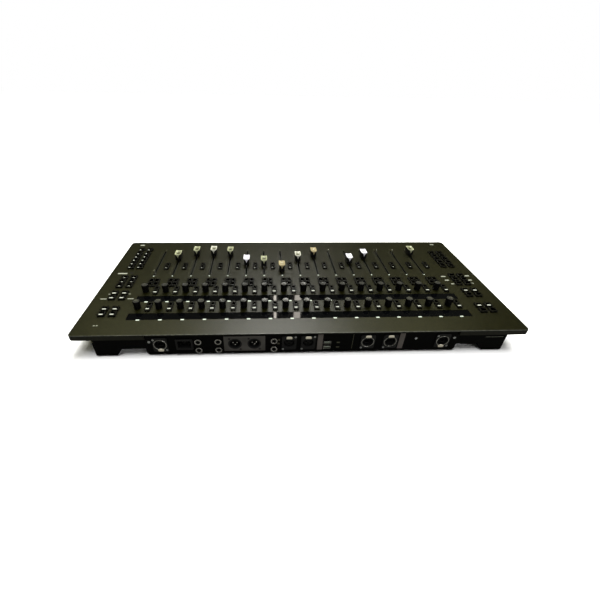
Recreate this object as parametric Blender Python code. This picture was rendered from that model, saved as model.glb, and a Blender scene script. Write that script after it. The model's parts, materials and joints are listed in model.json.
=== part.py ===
"""A sixteen-channel fader control surface, as an assembly of separate parts.

The frame: +X runs along the long side, +Z is up, and the operator sits at -Y. The sockets are on the
+Y side. The origin is at the middle of the footprint, on the surface that the desk stands on.
Everything is in metres; MM turns a size in millimetres into metres.
"""

import math

import bmesh
import bpy

MM = 0.001
GAP = 0.3 * MM  # left between two pieces that touch

# ---------------------------------------------------------------- driving sizes: the channel strip
CHANNELS = 16
CHANNEL_PITCH = 40.0 * MM
CONTROL_OFFSET = 10.0 * MM  # faders and encoders to the right of a strip's middle, key pairs to the left
CLUSTER_OFFSET = 3.0 * MM  # the four select keys, to the right of a strip's middle
SIDE_ZONE = 86.0 * MM  # from the outermost strip to the end of the top panel

REAR_MARGIN = 43.0 * MM
WINDOW_DEPTH = 20.0 * MM
WINDOW_TO_KEYS = 5.15 * MM
CLUSTER_TO_SLOT = 18.15 * MM
FRONT_MARGIN = 54.0 * MM

PAIR_KEY = (9.0 * MM, 12.0 * MM)
PAIR_KEY_SPACE = 1.5 * MM
CLUSTER_KEY = (10.4 * MM, 13.4 * MM)
CLUSTER_KEY_SPACE = (0.8 * MM, 1.0 * MM)
SIDE_KEY = (13.0 * MM, 12.5 * MM)
SIDE_KEY_PITCH = (19.5 * MM, 16.5 * MM)
SIDE_KEY_INSET = 36.5 * MM  # from the end of the top panel to the outer column
KEY_PLAY = 0.6 * MM  # between a key and the edge of its opening
KEY_RISE = 3.0 * MM
KEY_TRAVEL = 1.2 * MM
MAT_SHEET = 1.0 * MM
MAT_EDGE = 0.7 * MM  # how far a mat reaches under the panel past an opening
MAT_SPINE = 3.6 * MM

FADER_TRAVEL = 100.0 * MM
FADER_SLOT_WIDTH = 3.2 * MM
LEVER = (1.2 * MM, 8.0 * MM)
LEVER_PLAY = 2.0 * MM  # between the lever and the end of its slot, at full travel
LEVER_TOP = 9.0 * MM
CAP_LENGTH = 25.0 * MM
CAP_WIDTH = 12.5 * MM
CAP_UNDERSIDE = 3.0 * MM
CAP_TOP = 18.0 * MM
FADER_PAIR_DROP = 37.25 * MM  # from the rear end of a slot to the middle of the key pair beside it

KNOB_DIAMETER = 12.6 * MM
KNOB_TOP = 16.5 * MM
KNOB_UNDERSIDE = 1.0 * MM
KNOB_CHAMFER = 1.0 * MM
KNOB_FORWARD = 1.6 * MM  # the knob's axis, behind the middle of the key pair beside it
SHAFT_DIAMETER = 6.0 * MM
SHAFT_PLAY = 0.8 * MM

# ---------------------------------------------------------------- driving sizes: the case
PANEL_SHEET = 2.0 * MM
PANEL_LIP = 10.0 * MM
PANEL_CORNER = 8.0 * MM
CASE_SHEET = 2.0 * MM
SIDE_OVERHANG = 36.0 * MM
FRONT_OVERHANG = 16.0 * MM
REAR_RECESS = 3.0 * MM
TRAY_DEPTH = 33.0 * MM  # from the top of the panel to the underside of the tray
RAIL_WIDTH = 37.0 * MM
RAIL_SLOPE = 11.0 * MM
PAD_THICKNESS = 2.0 * MM
PAD = (24.0 * MM, 40.0 * MM)
PAD_END_SETBACK = 28.0 * MM
BOX_CLEAR = 1.0 * MM  # the connector box above the rails' underside
BOX_OUTSIDE = 90.0 * MM  # from the end of the case wall to the side of the connector box
BOX_DEPTH = 120.0 * MM
BOX_CHAMFER = 4.0 * MM
REAR_PANEL_SHEET = 1.5 * MM
REAR_PANEL_HEIGHT = 42.4 * MM

# ---------------------------------------------------------------- driving sizes: boards and sockets
BOARD_SHEET = 1.6 * MM
BOARD_DROP = 8.1 * MM  # from the underside of the panel's sheet to the board's top
FADER_BODY_WIDTH = 12.0 * MM
FADER_BODY_END = 9.0 * MM
FADER_BODY_DEPTH = 23.0 * MM
LEVER_REACH = 9.0 * MM  # the lever, below the top of the panel
ENCODER_BODY = 11.0 * MM
SOCKET_BODY = 22.4 * MM
SOCKET_BODY_WALL = 1.7 * MM
SOCKET_FLANGE_BORDER = (1.8 * MM, 4.3 * MM)
SOCKET_FLANGE_SHEET = 2.0 * MM
SOCKET_BORE_DEPTH = 13.0 * MM
SOCKET_LENGTH = 20.0 * MM
HOLE_PLAY = 0.8 * MM
JACK_BODY = 9.0 * MM
JACK_BODY_WALL = 1.3 * MM
JACK_RING_BORDER = 1.5 * MM
JACK_ROWS = (5.0 * MM, -14.0 * MM)
USB_SHELL = (13.0 * MM, 6.6 * MM)
USB_WALL = 0.9 * MM
USB_ROWS = (0.0, -11.0 * MM)
INLET_BODY = (27.0 * MM, 21.0 * MM)
INLET_BODY_WALL = 2.0 * MM
INLET_FLANGE_BORDER = 1.5 * MM

# Where each socket sits along X, seen from the operator's side.
D_SOCKETS = [x * MM for x in (-251.5, -155.0, -114.0, -6.5, 27.5, 89.5, 123.5, 254.0)]
JACK_COLUMNS = [x * MM for x in (54.5, 153.0, 188.0)]
USB_COLUMN = -41.0 * MM
INLET_X = 212.0 * MM

# The fader caps' places along their travel, from 0 at the operator's end to 1, by channel.
# Four channels have lost their cap, so only the lever stands up there.
FADER_REST = (
    0.10, 0.02, 0.02, 0.26, 0.50, 0.02, 0.17, 0.38,
    0.84, 0.60, 0.55, 0.12, 0.08, 0.10, 0.31, 0.99,
)
CAPLESS = (2, 3, 6, 16)

# ---------------------------------------------------------------- sizes that follow
WIDTH = CHANNELS * CHANNEL_PITCH + 2 * SIDE_ZONE
PAIR_OPENING = (PAIR_KEY[0] + 2 * KEY_PLAY, 2 * PAIR_KEY[1] + PAIR_KEY_SPACE + 2 * KEY_PLAY)
CLUSTER_OPENING = tuple(
    2 * side + space + 2 * KEY_PLAY for side, space in zip(CLUSTER_KEY, CLUSTER_KEY_SPACE)
)
KEYS_TO_CLUSTER = 2 * MAT_EDGE + 2 * GAP
ENCODER_ZONE = 2 * WINDOW_TO_KEYS + PAIR_OPENING[1]
FADER_SLOT_LENGTH = FADER_TRAVEL + LEVER[1] + 2 * LEVER_PLAY
DEPTH = (
    REAR_MARGIN + WINDOW_DEPTH + ENCODER_ZONE + WINDOW_DEPTH + WINDOW_TO_KEYS + PAIR_OPENING[1]
    + KEYS_TO_CLUSTER + CLUSTER_OPENING[1] + CLUSTER_TO_SLOT + FADER_SLOT_LENGTH + FRONT_MARGIN
)
BOX_BOTTOM = PAD_THICKNESS + BOX_CLEAR
DECK = BOX_BOTTOM + CASE_SHEET + GAP + REAR_PANEL_HEIGHT + GAP + PANEL_SHEET  # top of the panel
PANEL_UNDERSIDE = DECK - PANEL_SHEET
TRAY_BOTTOM = DECK - TRAY_DEPTH

# Along Y, from the rear edge towards the operator.
REAR_EDGE = DEPTH / 2
WINDOW_REAR_Y = REAR_EDGE - REAR_MARGIN - WINDOW_DEPTH / 2
WINDOW_FRONT_Y = WINDOW_REAR_Y - WINDOW_DEPTH - ENCODER_ZONE
WINDOW_TO_PAIR = WINDOW_DEPTH / 2 + WINDOW_TO_KEYS + PAIR_OPENING[1] / 2
ENCODER_PAIRS_Y = (WINDOW_FRONT_Y - WINDOW_TO_PAIR, WINDOW_REAR_Y - WINDOW_TO_PAIR)
CLUSTER_Y = ENCODER_PAIRS_Y[0] - PAIR_OPENING[1] / 2 - KEYS_TO_CLUSTER - CLUSTER_OPENING[1] / 2
SLOT_REAR_Y = CLUSTER_Y - CLUSTER_OPENING[1] / 2 - CLUSTER_TO_SLOT
SLOT_Y = SLOT_REAR_Y - FADER_SLOT_LENGTH / 2
FADER_PAIR_Y = SLOT_REAR_Y - FADER_PAIR_DROP

WINDOW_LENGTH = CHANNELS * CHANNEL_PITCH + 4 * MM
MAT_TOP = PANEL_UNDERSIDE - GAP
MAT_BOTTOM = MAT_TOP - MAT_SHEET
KEY_TOP = DECK + KEY_RISE
BOARD_TOP = PANEL_UNDERSIDE - BOARD_DROP
# What stands on the board stays below the mats, also when they are pressed.
UNDER_MATS = MAT_BOTTOM - KEY_TRAVEL - 0.5 * MM

CASE_HALF = WIDTH / 2 - SIDE_OVERHANG
BOX_HALF = CASE_HALF - BOX_OUTSIDE
CASE_FRONT = -DEPTH / 2 + FRONT_OVERHANG
CASE_REAR = DEPTH / 2 - REAR_RECESS
CASE_TOP = DECK - PANEL_LIP + GAP + CASE_SHEET
SOCKET_Z = BOX_BOTTOM + CASE_SHEET + GAP + REAR_PANEL_HEIGHT / 2
SOCKET_BACK = CASE_REAR - SOCKET_LENGTH
SOCKET_FLANGE = tuple(SOCKET_BODY + 2 * border for border in SOCKET_FLANGE_BORDER)
SOCKET_BORE = SOCKET_BODY - 2 * SOCKET_BODY_WALL
JACK_RING = JACK_BODY + 2 * JACK_RING_BORDER
JACK_BORE = JACK_BODY - 2 * JACK_BODY_WALL

# The side columns' rows, from the rear edge of what they stand beside.
SIDE_GROUPS = (
    (WINDOW_REAR_Y - WINDOW_DEPTH / 2 + 3.0 * MM, 2),
    (WINDOW_FRONT_Y + WINDOW_DEPTH / 2 - 13.5 * MM, 2),
    (CLUSTER_Y + CLUSTER_OPENING[1] / 2 - 3.5 * MM, 3),
    (SLOT_REAR_Y - 34.0 * MM, 5),
)
LAST_ROW_Y = SIDE_GROUPS[-1][0] - 4 * SIDE_KEY_PITCH[1] - 21.0 * MM


def strip_x(channel):
    """The middle of a channel strip, 1 at the operator's left."""
    return (channel - (CHANNELS + 1) / 2) * CHANNEL_PITCH


def side_rows(side):
    """The rows of a side column: the operator's right has one more, nearest the operator."""
    rows = [top - row * SIDE_KEY_PITCH[1] for top, count in SIDE_GROUPS for row in range(count)]
    return rows + [LAST_ROW_Y] if side > 0 else rows


def side_key_places(side):
    outer = WIDTH / 2 - SIDE_KEY_INSET
    return [(side * (outer - c * SIDE_KEY_PITCH[0]), y) for y in side_rows(side) for c in (0, 1)]


def pair_places(x, y):
    step = (PAIR_KEY[1] + PAIR_KEY_SPACE) / 2
    return [(x, y + step), (x, y - step)]


def cluster_places(x, y):
    dx, dy = ((side + space) / 2 for side, space in zip(CLUSTER_KEY, CLUSTER_KEY_SPACE))
    return [(x + sx * dx, y + sy * dy) for sx in (-1, 1) for sy in (1, -1)]


# ---------------------------------------------------------------- materials
def material(name, color, roughness, metallic=0.0):
    made = bpy.data.materials.new(name)
    made.use_nodes = True
    shader = made.node_tree.nodes["Principled BSDF"]
    shader.inputs["Base Color"].default_value = (*color, 1.0)
    shader.inputs["Roughness"].default_value = roughness
    shader.inputs["Metallic"].default_value = metallic
    return made


# ---------------------------------------------------------------- modelling helpers
def block(bm, low, high):
    """Adds a box between two corners."""
    made = bmesh.ops.create_cube(bm, size=1.0)["verts"]
    size = [b - a for a, b in zip(low, high)]
    bmesh.ops.scale(bm, vec=size, verts=made)
    bmesh.ops.translate(bm, vec=[(a + b) / 2 for a, b in zip(low, high)], verts=made)
    return made


def upright(bm, x, y, size, bottom, top):
    """Adds a box of a size in X and Y around a place, from one height to another."""
    low = (x - size[0] / 2, y - size[1] / 2, bottom)
    high = (x + size[0] / 2, y + size[1] / 2, top)
    return block(bm, low, high)


def prism(bm, outline, direction):
    """Adds a closed prism: the outline, a list of points, drawn out along a direction."""
    face = bm.faces.new([bm.verts.new(point) for point in outline])
    drawn = bmesh.ops.extrude_face_region(bm, geom=[face])["geom"]
    moved = [item for item in drawn if isinstance(item, bmesh.types.BMVert)]
    bmesh.ops.translate(bm, vec=direction, verts=moved)


def turned(bm, profile, segments):
    """Adds a solid turned round Z from (radius, height) points that start and end on the axis."""
    verts = [bm.verts.new((radius, 0, height)) for radius, height in profile]
    edges = [bm.edges.new(pair) for pair in zip(verts, verts[1:])]
    bmesh.ops.spin(
        bm, geom=verts + edges, axis=(0, 0, 1), cent=(0, 0, 0),
        angle=math.tau, steps=segments, use_merge=True,
    )
    bmesh.ops.remove_doubles(bm, verts=bm.verts, dist=0.01 * MM)


def rod(bm, x, z, diameter, y_from, y_to, segments):
    """Adds a round rod along Y."""
    ring = [
        (x + diameter / 2 * math.cos(a), y_from, z + diameter / 2 * math.sin(a))
        for a in (math.tau * (k + 0.5) / segments for k in range(segments))
    ]
    prism(bm, ring, (0, y_to - y_from, 0))


def rounded_rectangle(half_x, half_y, radius, z, steps=4):
    points = []
    for quarter, (sx, sy) in enumerate(((1, 1), (-1, 1), (-1, -1), (1, -1))):
        cx, cy = sx * (half_x - radius), sy * (half_y - radius)
        for k in range(steps + 1):
            angle = math.pi / 2 * (quarter + k / steps)
            points.append((cx + radius * math.cos(angle), cy + radius * math.sin(angle), z))
    return points


def finish_mesh(name, bm):
    bmesh.ops.recalc_face_normals(bm, faces=bm.faces)
    mesh = bpy.data.meshes.new(name)
    bm.to_mesh(mesh)
    bm.free()
    return mesh


def piece(name, bm, finish, location=(0, 0, 0)):
    """A named sub-part. Its mesh is drawn about its own origin."""
    made = bpy.data.objects.new(name, finish_mesh(name, bm))
    bpy.context.scene.collection.objects.link(made)
    made.location = location
    made.data.materials.append(finish)
    return made


def operand(made, name, operation, bm):
    """Joins a shape to a piece or cuts it away, with a Boolean that stays on the piece."""
    tool = bpy.data.objects.new(f"{made.name}_{name}", finish_mesh(name, bm))
    bpy.context.scene.collection.objects.link(tool)
    tool.location = made.location
    tool.hide_render = True
    tool.display_type = "WIRE"
    modifier = made.modifiers.new(name, "BOOLEAN")
    modifier.operation = operation
    modifier.solver = "EXACT"
    modifier.object = tool


def join(made, name, bm):
    operand(made, name, "UNION", bm)


def cut(made, name, bm):
    operand(made, name, "DIFFERENCE", bm)


def mirrored(points):
    """An outline and its mirror image across X = 0, as one closed outline."""
    return points + [(-x, y, z) for x, y, z in reversed(points)]


def chamfer_inside(leg, inset):
    """The leg of a 45 degree chamfer after its outline is moved inwards."""
    return leg - inset * (2 - math.sqrt(2))


# ---------------------------------------------------------------- top panel
def make_top_panel(finish):
    bottom = DECK - PANEL_LIP
    bm = bmesh.new()
    prism(bm, rounded_rectangle(WIDTH / 2, DEPTH / 2, PANEL_CORNER, bottom), (0, 0, PANEL_LIP))
    panel = piece("top_panel", bm, finish)

    bm = bmesh.new()
    inside = (WIDTH / 2 - PANEL_SHEET, DEPTH / 2 - PANEL_SHEET, PANEL_CORNER - PANEL_SHEET)
    prism(bm, rounded_rectangle(*inside, bottom - 1 * MM), (0, 0, PANEL_LIP - PANEL_SHEET + 1 * MM))
    cut(panel, "hollow", bm)

    # The lip stops where the rear panel comes up to the sheet.
    bm = bmesh.new()
    notch = BOX_HALF - CASE_SHEET
    block(bm, (-notch, DEPTH / 2 - 2 * PANEL_SHEET, bottom - 1 * MM), (notch, DEPTH, PANEL_UNDERSIDE))
    cut(panel, "rear_notch", bm)

    low, high = PANEL_UNDERSIDE - 1 * MM, DECK + 1 * MM
    bm = bmesh.new()
    for y in (WINDOW_FRONT_Y, WINDOW_REAR_Y):
        upright(bm, 0, y, (WINDOW_LENGTH, WINDOW_DEPTH), low, high)
    for channel in range(1, CHANNELS + 1):
        x = strip_x(channel)
        for y in (*ENCODER_PAIRS_Y, FADER_PAIR_Y):
            upright(bm, x - CONTROL_OFFSET, y, PAIR_OPENING, low, high)
        upright(bm, x + CLUSTER_OFFSET, CLUSTER_Y, CLUSTER_OPENING, low, high)
        upright(bm, x + CONTROL_OFFSET, SLOT_Y, (FADER_SLOT_WIDTH, FADER_SLOT_LENGTH), low, high)
        for y in ENCODER_PAIRS_Y:
            hole = bmesh.ops.create_cone(
                bm, cap_ends=True, segments=8, depth=high - low,
                radius1=SHAFT_DIAMETER / 2 + SHAFT_PLAY, radius2=SHAFT_DIAMETER / 2 + SHAFT_PLAY,
            )["verts"]
            place = (x + CONTROL_OFFSET, y + KNOB_FORWARD, (low + high) / 2)
            bmesh.ops.translate(bm, vec=place, verts=hole)
    opening = tuple(side + 2 * KEY_PLAY for side in SIDE_KEY)
    for x, y in side_key_places(-1) + side_key_places(1):
        upright(bm, x, y, opening, low, high)
    cut(panel, "openings", bm)


# ---------------------------------------------------------------- base pan
def tray_outline(y, inset, top):
    """The tray and its two rails seen from the rear, inset by a wall."""
    slope = math.atan2(TRAY_BOTTOM - PAD_THICKNESS, RAIL_SLOPE)
    shift = inset / math.sin(slope)
    rail_inner = CASE_HALF - RAIL_WIDTH + shift - inset / math.tan(slope)
    tray_edge = CASE_HALF - RAIL_WIDTH - RAIL_SLOPE + shift - inset / math.tan(slope)
    return mirrored([
        (CASE_HALF - inset, y, top),
        (CASE_HALF - inset, y, PAD_THICKNESS + inset),
        (rail_inner, y, PAD_THICKNESS + inset),
        (tray_edge, y, TRAY_BOTTOM + inset),
    ])


def box_outline(y, inset, top):
    """The connector box under the tray seen from the rear, inset by a wall."""
    leg = chamfer_inside(BOX_CHAMFER, inset)
    side, bottom = BOX_HALF - inset, BOX_BOTTOM + inset
    return mirrored([(side, y, top), (side, y, bottom + leg), (side - leg, y, bottom)])


def make_base_pan(finish):
    bm = bmesh.new()
    prism(bm, tray_outline(CASE_FRONT, 0, CASE_TOP - CASE_SHEET / 2), (0, CASE_REAR - CASE_FRONT, 0))
    pan = piece("base_pan", bm, finish)

    bm = bmesh.new()
    prism(bm, box_outline(CASE_REAR - BOX_DEPTH, 0, TRAY_BOTTOM + CASE_SHEET / 2), (0, BOX_DEPTH, 0))
    join(pan, "connector_box", bm)

    # The flange closes the underside of the overhanging panel.
    inset = PANEL_SHEET + GAP
    bm = bmesh.new()
    edge = rounded_rectangle(
        WIDTH / 2 - inset, DEPTH / 2 - inset, PANEL_CORNER - inset, CASE_TOP - CASE_SHEET
    )
    prism(bm, edge, (0, 0, CASE_SHEET))
    join(pan, "flange", bm)

    # Pads under the rails carry the desk.
    bm = bmesh.new()
    middle = CASE_HALF - RAIL_WIDTH / 2
    for x in (-middle, middle):
        for y in (CASE_FRONT + PAD_END_SETBACK, CASE_REAR - PAD_END_SETBACK):
            upright(bm, x, y, PAD, 0, PAD_THICKNESS + CASE_SHEET / 2)
    join(pan, "pads", bm)

    long_inside = CASE_REAR - CASE_FRONT - 2 * CASE_SHEET
    bm = bmesh.new()
    prism(bm, tray_outline(CASE_FRONT + CASE_SHEET, CASE_SHEET, DECK), (0, long_inside, 0))
    cut(pan, "tray_hollow", bm)

    # The connector box is open to the tray above it and to the rear panel behind it.
    bm = bmesh.new()
    start = CASE_REAR - BOX_DEPTH + CASE_SHEET
    prism(bm, box_outline(start, CASE_SHEET, DECK), (0, BOX_DEPTH, 0))
    cut(pan, "box_hollow", bm)


# ---------------------------------------------------------------- rear panel and its sockets
def make_rear_panel(finish):
    inset = CASE_SHEET + GAP
    front = CASE_REAR - REAR_PANEL_SHEET
    bm = bmesh.new()
    outline = box_outline(front, inset, BOX_BOTTOM + inset + REAR_PANEL_HEIGHT)
    prism(bm, outline, (0, REAR_PANEL_SHEET, 0))
    panel = piece("rear_panel", bm, finish)

    y_from, y_to = front - 1 * MM, CASE_REAR + 1 * MM
    bm = bmesh.new()
    for x in D_SOCKETS:
        rod(bm, x, SOCKET_Z, SOCKET_BODY + 2 * HOLE_PLAY, y_from, y_to, 12)
    for x in JACK_COLUMNS:
        for row in JACK_ROWS:
            rod(bm, x, SOCKET_Z + row, JACK_BODY + 2 * HOLE_PLAY, y_from, y_to, 8)
    for row in USB_ROWS:
        face_block(bm, USB_COLUMN, SOCKET_Z + row, grown(USB_SHELL, HOLE_PLAY), y_from, y_to)
    face_block(bm, INLET_X, SOCKET_Z, grown(INLET_BODY, HOLE_PLAY), y_from, y_to)
    cut(panel, "socket_holes", bm)


def grown(size, play):
    return tuple(side + 2 * play for side in size)


def face_block(bm, x, z, size, y_from, y_to):
    """Adds a box of a size in X and Z around a place on the rear face."""
    low = (x - size[0] / 2, y_from, z - size[1] / 2)
    high = (x + size[0] / 2, y_to, z + size[1] / 2)
    block(bm, low, high)


def make_connector_bank(finish):
    """The socket board with the sockets that stand on it."""
    flange = CASE_REAR + GAP
    face = flange + SOCKET_FLANGE_SHEET
    root = SOCKET_BACK - BOARD_SHEET / 2
    half = BOX_HALF - CASE_SHEET - 8 * MM
    height = REAR_PANEL_HEIGHT / 2 - 3 * MM
    bm = bmesh.new()
    low = (-half, SOCKET_BACK - BOARD_SHEET, SOCKET_Z - height)
    block(bm, low, (half, SOCKET_BACK, SOCKET_Z + height))
    bank = piece("connector_bank", bm, finish)

    bm = bmesh.new()
    for x in D_SOCKETS:
        rod(bm, x, SOCKET_Z, SOCKET_BODY, root, flange + SOCKET_FLANGE_SHEET / 2, 12)
    for x in JACK_COLUMNS:
        for row in JACK_ROWS:
            rod(bm, x, SOCKET_Z + row, JACK_BODY, root, flange + SOCKET_FLANGE_SHEET / 2, 8)
    for row in USB_ROWS:
        face_block(bm, USB_COLUMN, SOCKET_Z + row, USB_SHELL, root, flange)
    face_block(bm, INLET_X, SOCKET_Z, INLET_BODY, root, flange + SOCKET_FLANGE_SHEET / 2)
    join(bank, "bodies", bm)

    bm = bmesh.new()
    for x in D_SOCKETS:
        face_block(bm, x, SOCKET_Z, SOCKET_FLANGE, flange, face)
    for x in JACK_COLUMNS:
        for row in JACK_ROWS:
            rod(bm, x, SOCKET_Z + row, JACK_RING, flange, face, 12)
    face_block(bm, INLET_X, SOCKET_Z, grown(INLET_BODY, INLET_FLANGE_BORDER), flange, face)
    join(bank, "flanges", bm)

    bottom = face - SOCKET_BORE_DEPTH
    bm = bmesh.new()
    for x in D_SOCKETS:
        rod(bm, x, SOCKET_Z, SOCKET_BORE, bottom, face + 1 * MM, 12)
    for x in JACK_COLUMNS:
        for row in JACK_ROWS:
            rod(bm, x, SOCKET_Z + row, JACK_BORE, bottom, face + 1 * MM, 8)
    for row in USB_ROWS:
        face_block(bm, USB_COLUMN, SOCKET_Z + row, grown(USB_SHELL, -USB_WALL), bottom, face)
    face_block(bm, INLET_X, SOCKET_Z, grown(INLET_BODY, -INLET_BODY_WALL), bottom, face + 1 * MM)
    cut(bank, "bores", bm)


# ---------------------------------------------------------------- display windows
def make_display_window(name, y, finish):
    bm = bmesh.new()
    size = (WINDOW_LENGTH - 2 * GAP, WINDOW_DEPTH - 2 * GAP)
    upright(bm, 0, y, size, PANEL_UNDERSIDE, DECK - 0.2 * MM)
    piece(name, bm, finish)


# ---------------------------------------------------------------- control board
def make_control_board(finish):
    """The main board with the fader tracks, the encoders' bodies and the display modules on it."""
    bottom = BOARD_TOP - BOARD_SHEET
    half = CHANNELS * CHANNEL_PITCH / 2 + 20 * MM
    front = SLOT_Y - FADER_SLOT_LENGTH / 2 - FADER_BODY_END - 2 * MM
    rear = WINDOW_REAR_Y + WINDOW_DEPTH / 2 + 2 * MM
    bm = bmesh.new()
    block(bm, (-half, front, bottom), (half, rear, BOARD_TOP))
    board = piece("control_board", bm, finish)

    root = BOARD_TOP - BOARD_SHEET / 2
    track = (FADER_BODY_WIDTH, FADER_SLOT_LENGTH + 2 * FADER_BODY_END)
    bm = bmesh.new()
    for channel in range(1, CHANNELS + 1):
        x = strip_x(channel) + CONTROL_OFFSET
        upright(bm, x, SLOT_Y, track, UNDER_MATS - FADER_BODY_DEPTH, UNDER_MATS)
        for y in ENCODER_PAIRS_Y:
            upright(bm, x, y + KNOB_FORWARD, (ENCODER_BODY, ENCODER_BODY), root, UNDER_MATS)
    for y in (WINDOW_FRONT_Y, WINDOW_REAR_Y):
        module = (WINDOW_LENGTH - 6 * MM, WINDOW_DEPTH - 3 * MM)
        upright(bm, 0, y, module, root, PANEL_UNDERSIDE - GAP)
    join(board, "components", bm)

    # The side keys' boards stand higher, on a step, because the case's flange is under them.
    low = UNDER_MATS - BOARD_SHEET
    outer = WIDTH / 2 - SIDE_KEY_INSET + SIDE_KEY[0] / 2 + 2 * MM
    inner = half - 6 * MM
    bm = bmesh.new()
    for side in (-1, 1):
        rows = side_rows(side)
        ends = (rows[-1] - SIDE_KEY[1] / 2 - 2 * MM, rows[0] + SIDE_KEY[1] / 2 + 2 * MM)
        edges = sorted((side * inner, side * outer))
        block(bm, (edges[0], ends[0], low), (edges[1], ends[1], UNDER_MATS))
    join(board, "side_boards", bm)
    bm = bmesh.new()
    for side in (-1, 1):
        edges = sorted((side * (half - 4 * MM), side * (half - 1 * MM)))
        for y in (SIDE_GROUPS[0][0], SIDE_GROUPS[2][0], SIDE_GROUPS[3][0] - 3 * SIDE_KEY_PITCH[1]):
            block(bm, (edges[0], y - 5 * MM, root), (edges[1], y + 5 * MM, low + BOARD_SHEET / 2))
    join(board, "side_steps", bm)

    bm = bmesh.new()
    groove = (FADER_SLOT_WIDTH, FADER_SLOT_LENGTH)
    for channel in range(1, CHANNELS + 1):
        x = strip_x(channel) + CONTROL_OFFSET
        upright(bm, x, SLOT_Y, groove, DECK - LEVER_REACH - 2 * MM, PANEL_UNDERSIDE)
    cut(board, "fader_grooves", bm)


# ---------------------------------------------------------------- key mats
def web(bm, low_x, low_y, high_x, high_y):
    block(bm, (low_x, low_y, MAT_BOTTOM), (high_x, high_y, MAT_TOP))


def keys(mat, places, size):
    """Adds a key to a mat at each place, as tall blocks that stand through the panel."""
    bm = bmesh.new()
    for x, y in places:
        upright(bm, x, y, size, MAT_TOP - MAT_SHEET / 2, KEY_TOP)
    join(mat, "keys", bm)


def make_fader_keys(finish):
    finger = PAIR_OPENING[0] / 2 + MAT_EDGE
    end = FADER_PAIR_Y - PAIR_OPENING[1] / 2 - MAT_EDGE
    spine_front = SLOT_REAR_Y + 2 * MM
    first, last = strip_x(1) - CONTROL_OFFSET, strip_x(CHANNELS) - CONTROL_OFFSET
    bm = bmesh.new()
    web(bm, first - finger, spine_front, last + finger, spine_front + 2 * MAT_SPINE)
    mat = piece("fader_keys", bm, finish)
    bm = bmesh.new()
    for channel in range(1, CHANNELS + 1):
        x = strip_x(channel) - CONTROL_OFFSET
        web(bm, x - finger, end, x + finger, spine_front + MAT_SPINE)
    join(mat, "fingers", bm)
    places = []
    for channel in range(1, CHANNELS + 1):
        places += pair_places(strip_x(channel) - CONTROL_OFFSET, FADER_PAIR_Y)
    keys(mat, places, PAIR_KEY)


def make_select_keys(finish):
    half = [side / 2 + MAT_EDGE for side in CLUSTER_OPENING]
    first, last = strip_x(1) + CLUSTER_OFFSET, strip_x(CHANNELS) + CLUSTER_OFFSET
    bm = bmesh.new()
    web(bm, first - half[0], CLUSTER_Y - half[1], last + half[0], CLUSTER_Y + half[1])
    mat = piece("select_keys", bm, finish)
    places = []
    for channel in range(1, CHANNELS + 1):
        places += cluster_places(strip_x(channel) + CLUSTER_OFFSET, CLUSTER_Y)
    keys(mat, places, CLUSTER_KEY)


def make_encoder_keys(finish):
    """Two combs, one for each row of encoders, joined beside the front window."""
    finger = PAIR_OPENING[0] / 2 + MAT_EDGE
    reach = PAIR_OPENING[1] / 2
    strap_in, strap_out = WINDOW_LENGTH / 2 + 2 * MM, WINDOW_LENGTH / 2 + 8 * MM
    front_y, rear_y = ENCODER_PAIRS_Y
    bm = bmesh.new()
    web(bm, -strap_out, rear_y + reach, strap_out, rear_y + reach + MAT_SPINE)
    mat = piece("encoder_keys", bm, finish)
    bm = bmesh.new()
    for side in (-1, 1):
        edges = sorted((side * strap_in, side * strap_out))
        web(bm, edges[0], front_y + reach + MAT_SPINE / 2, edges[1], rear_y + reach + MAT_SPINE / 2)
    join(mat, "straps", bm)
    bm = bmesh.new()
    web(bm, -strap_out, front_y + reach, strap_out, front_y + reach + MAT_SPINE)
    join(mat, "front_spine", bm)
    bm = bmesh.new()
    for channel in range(1, CHANNELS + 1):
        x = strip_x(channel) - CONTROL_OFFSET
        for y in ENCODER_PAIRS_Y:
            web(bm, x - finger, y - reach - MAT_EDGE, x + finger, y + reach + MAT_SPINE / 2)
    join(mat, "fingers", bm)
    places = []
    for channel in range(1, CHANNELS + 1):
        for y in ENCODER_PAIRS_Y:
            places += pair_places(strip_x(channel) - CONTROL_OFFSET, y)
    keys(mat, places, PAIR_KEY)


def make_side_keys(name, side, finish):
    rows = side_rows(side)
    reach = [length / 2 + KEY_PLAY + MAT_EDGE for length in SIDE_KEY]
    outer = WIDTH / 2 - SIDE_KEY_INSET + reach[0]
    inner = WIDTH / 2 - SIDE_KEY_INSET - SIDE_KEY_PITCH[0] - reach[0]
    edges = sorted((side * inner, side * outer))
    bm = bmesh.new()
    web(bm, edges[0], rows[-1] - reach[1], edges[1], rows[0] + reach[1])
    mat = piece(name, bm, finish)
    keys(mat, side_key_places(side), SIDE_KEY)


# ---------------------------------------------------------------- encoders and faders
def make_encoders(finish):
    """The turning part of each encoder: the knob and its shaft, one mesh shared by all."""
    radius, shaft = KNOB_DIAMETER / 2, SHAFT_DIAMETER / 2
    profile = (
        (0, UNDER_MATS + GAP - DECK),
        (shaft, UNDER_MATS + GAP - DECK),
        (shaft, KNOB_UNDERSIDE),
        (radius, KNOB_UNDERSIDE),
        (radius, KNOB_TOP - KNOB_CHAMFER),
        (radius - KNOB_CHAMFER, KNOB_TOP),
        (0, KNOB_TOP),
    )
    bm = bmesh.new()
    turned(bm, profile, 10)
    mesh = finish_mesh("encoder", bm)
    mesh.materials.append(finish)
    mesh.shade_smooth()
    mesh.set_sharp_from_angle(angle=math.radians(40))
    for row, y in zip(("front", "rear"), ENCODER_PAIRS_Y):
        for channel in range(1, CHANNELS + 1):
            made = bpy.data.objects.new(f"encoder_{row}_{channel:02d}", mesh)
            bpy.context.scene.collection.objects.link(made)
            made.location = (strip_x(channel) + CONTROL_OFFSET, y + KNOB_FORWARD, DECK)


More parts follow.
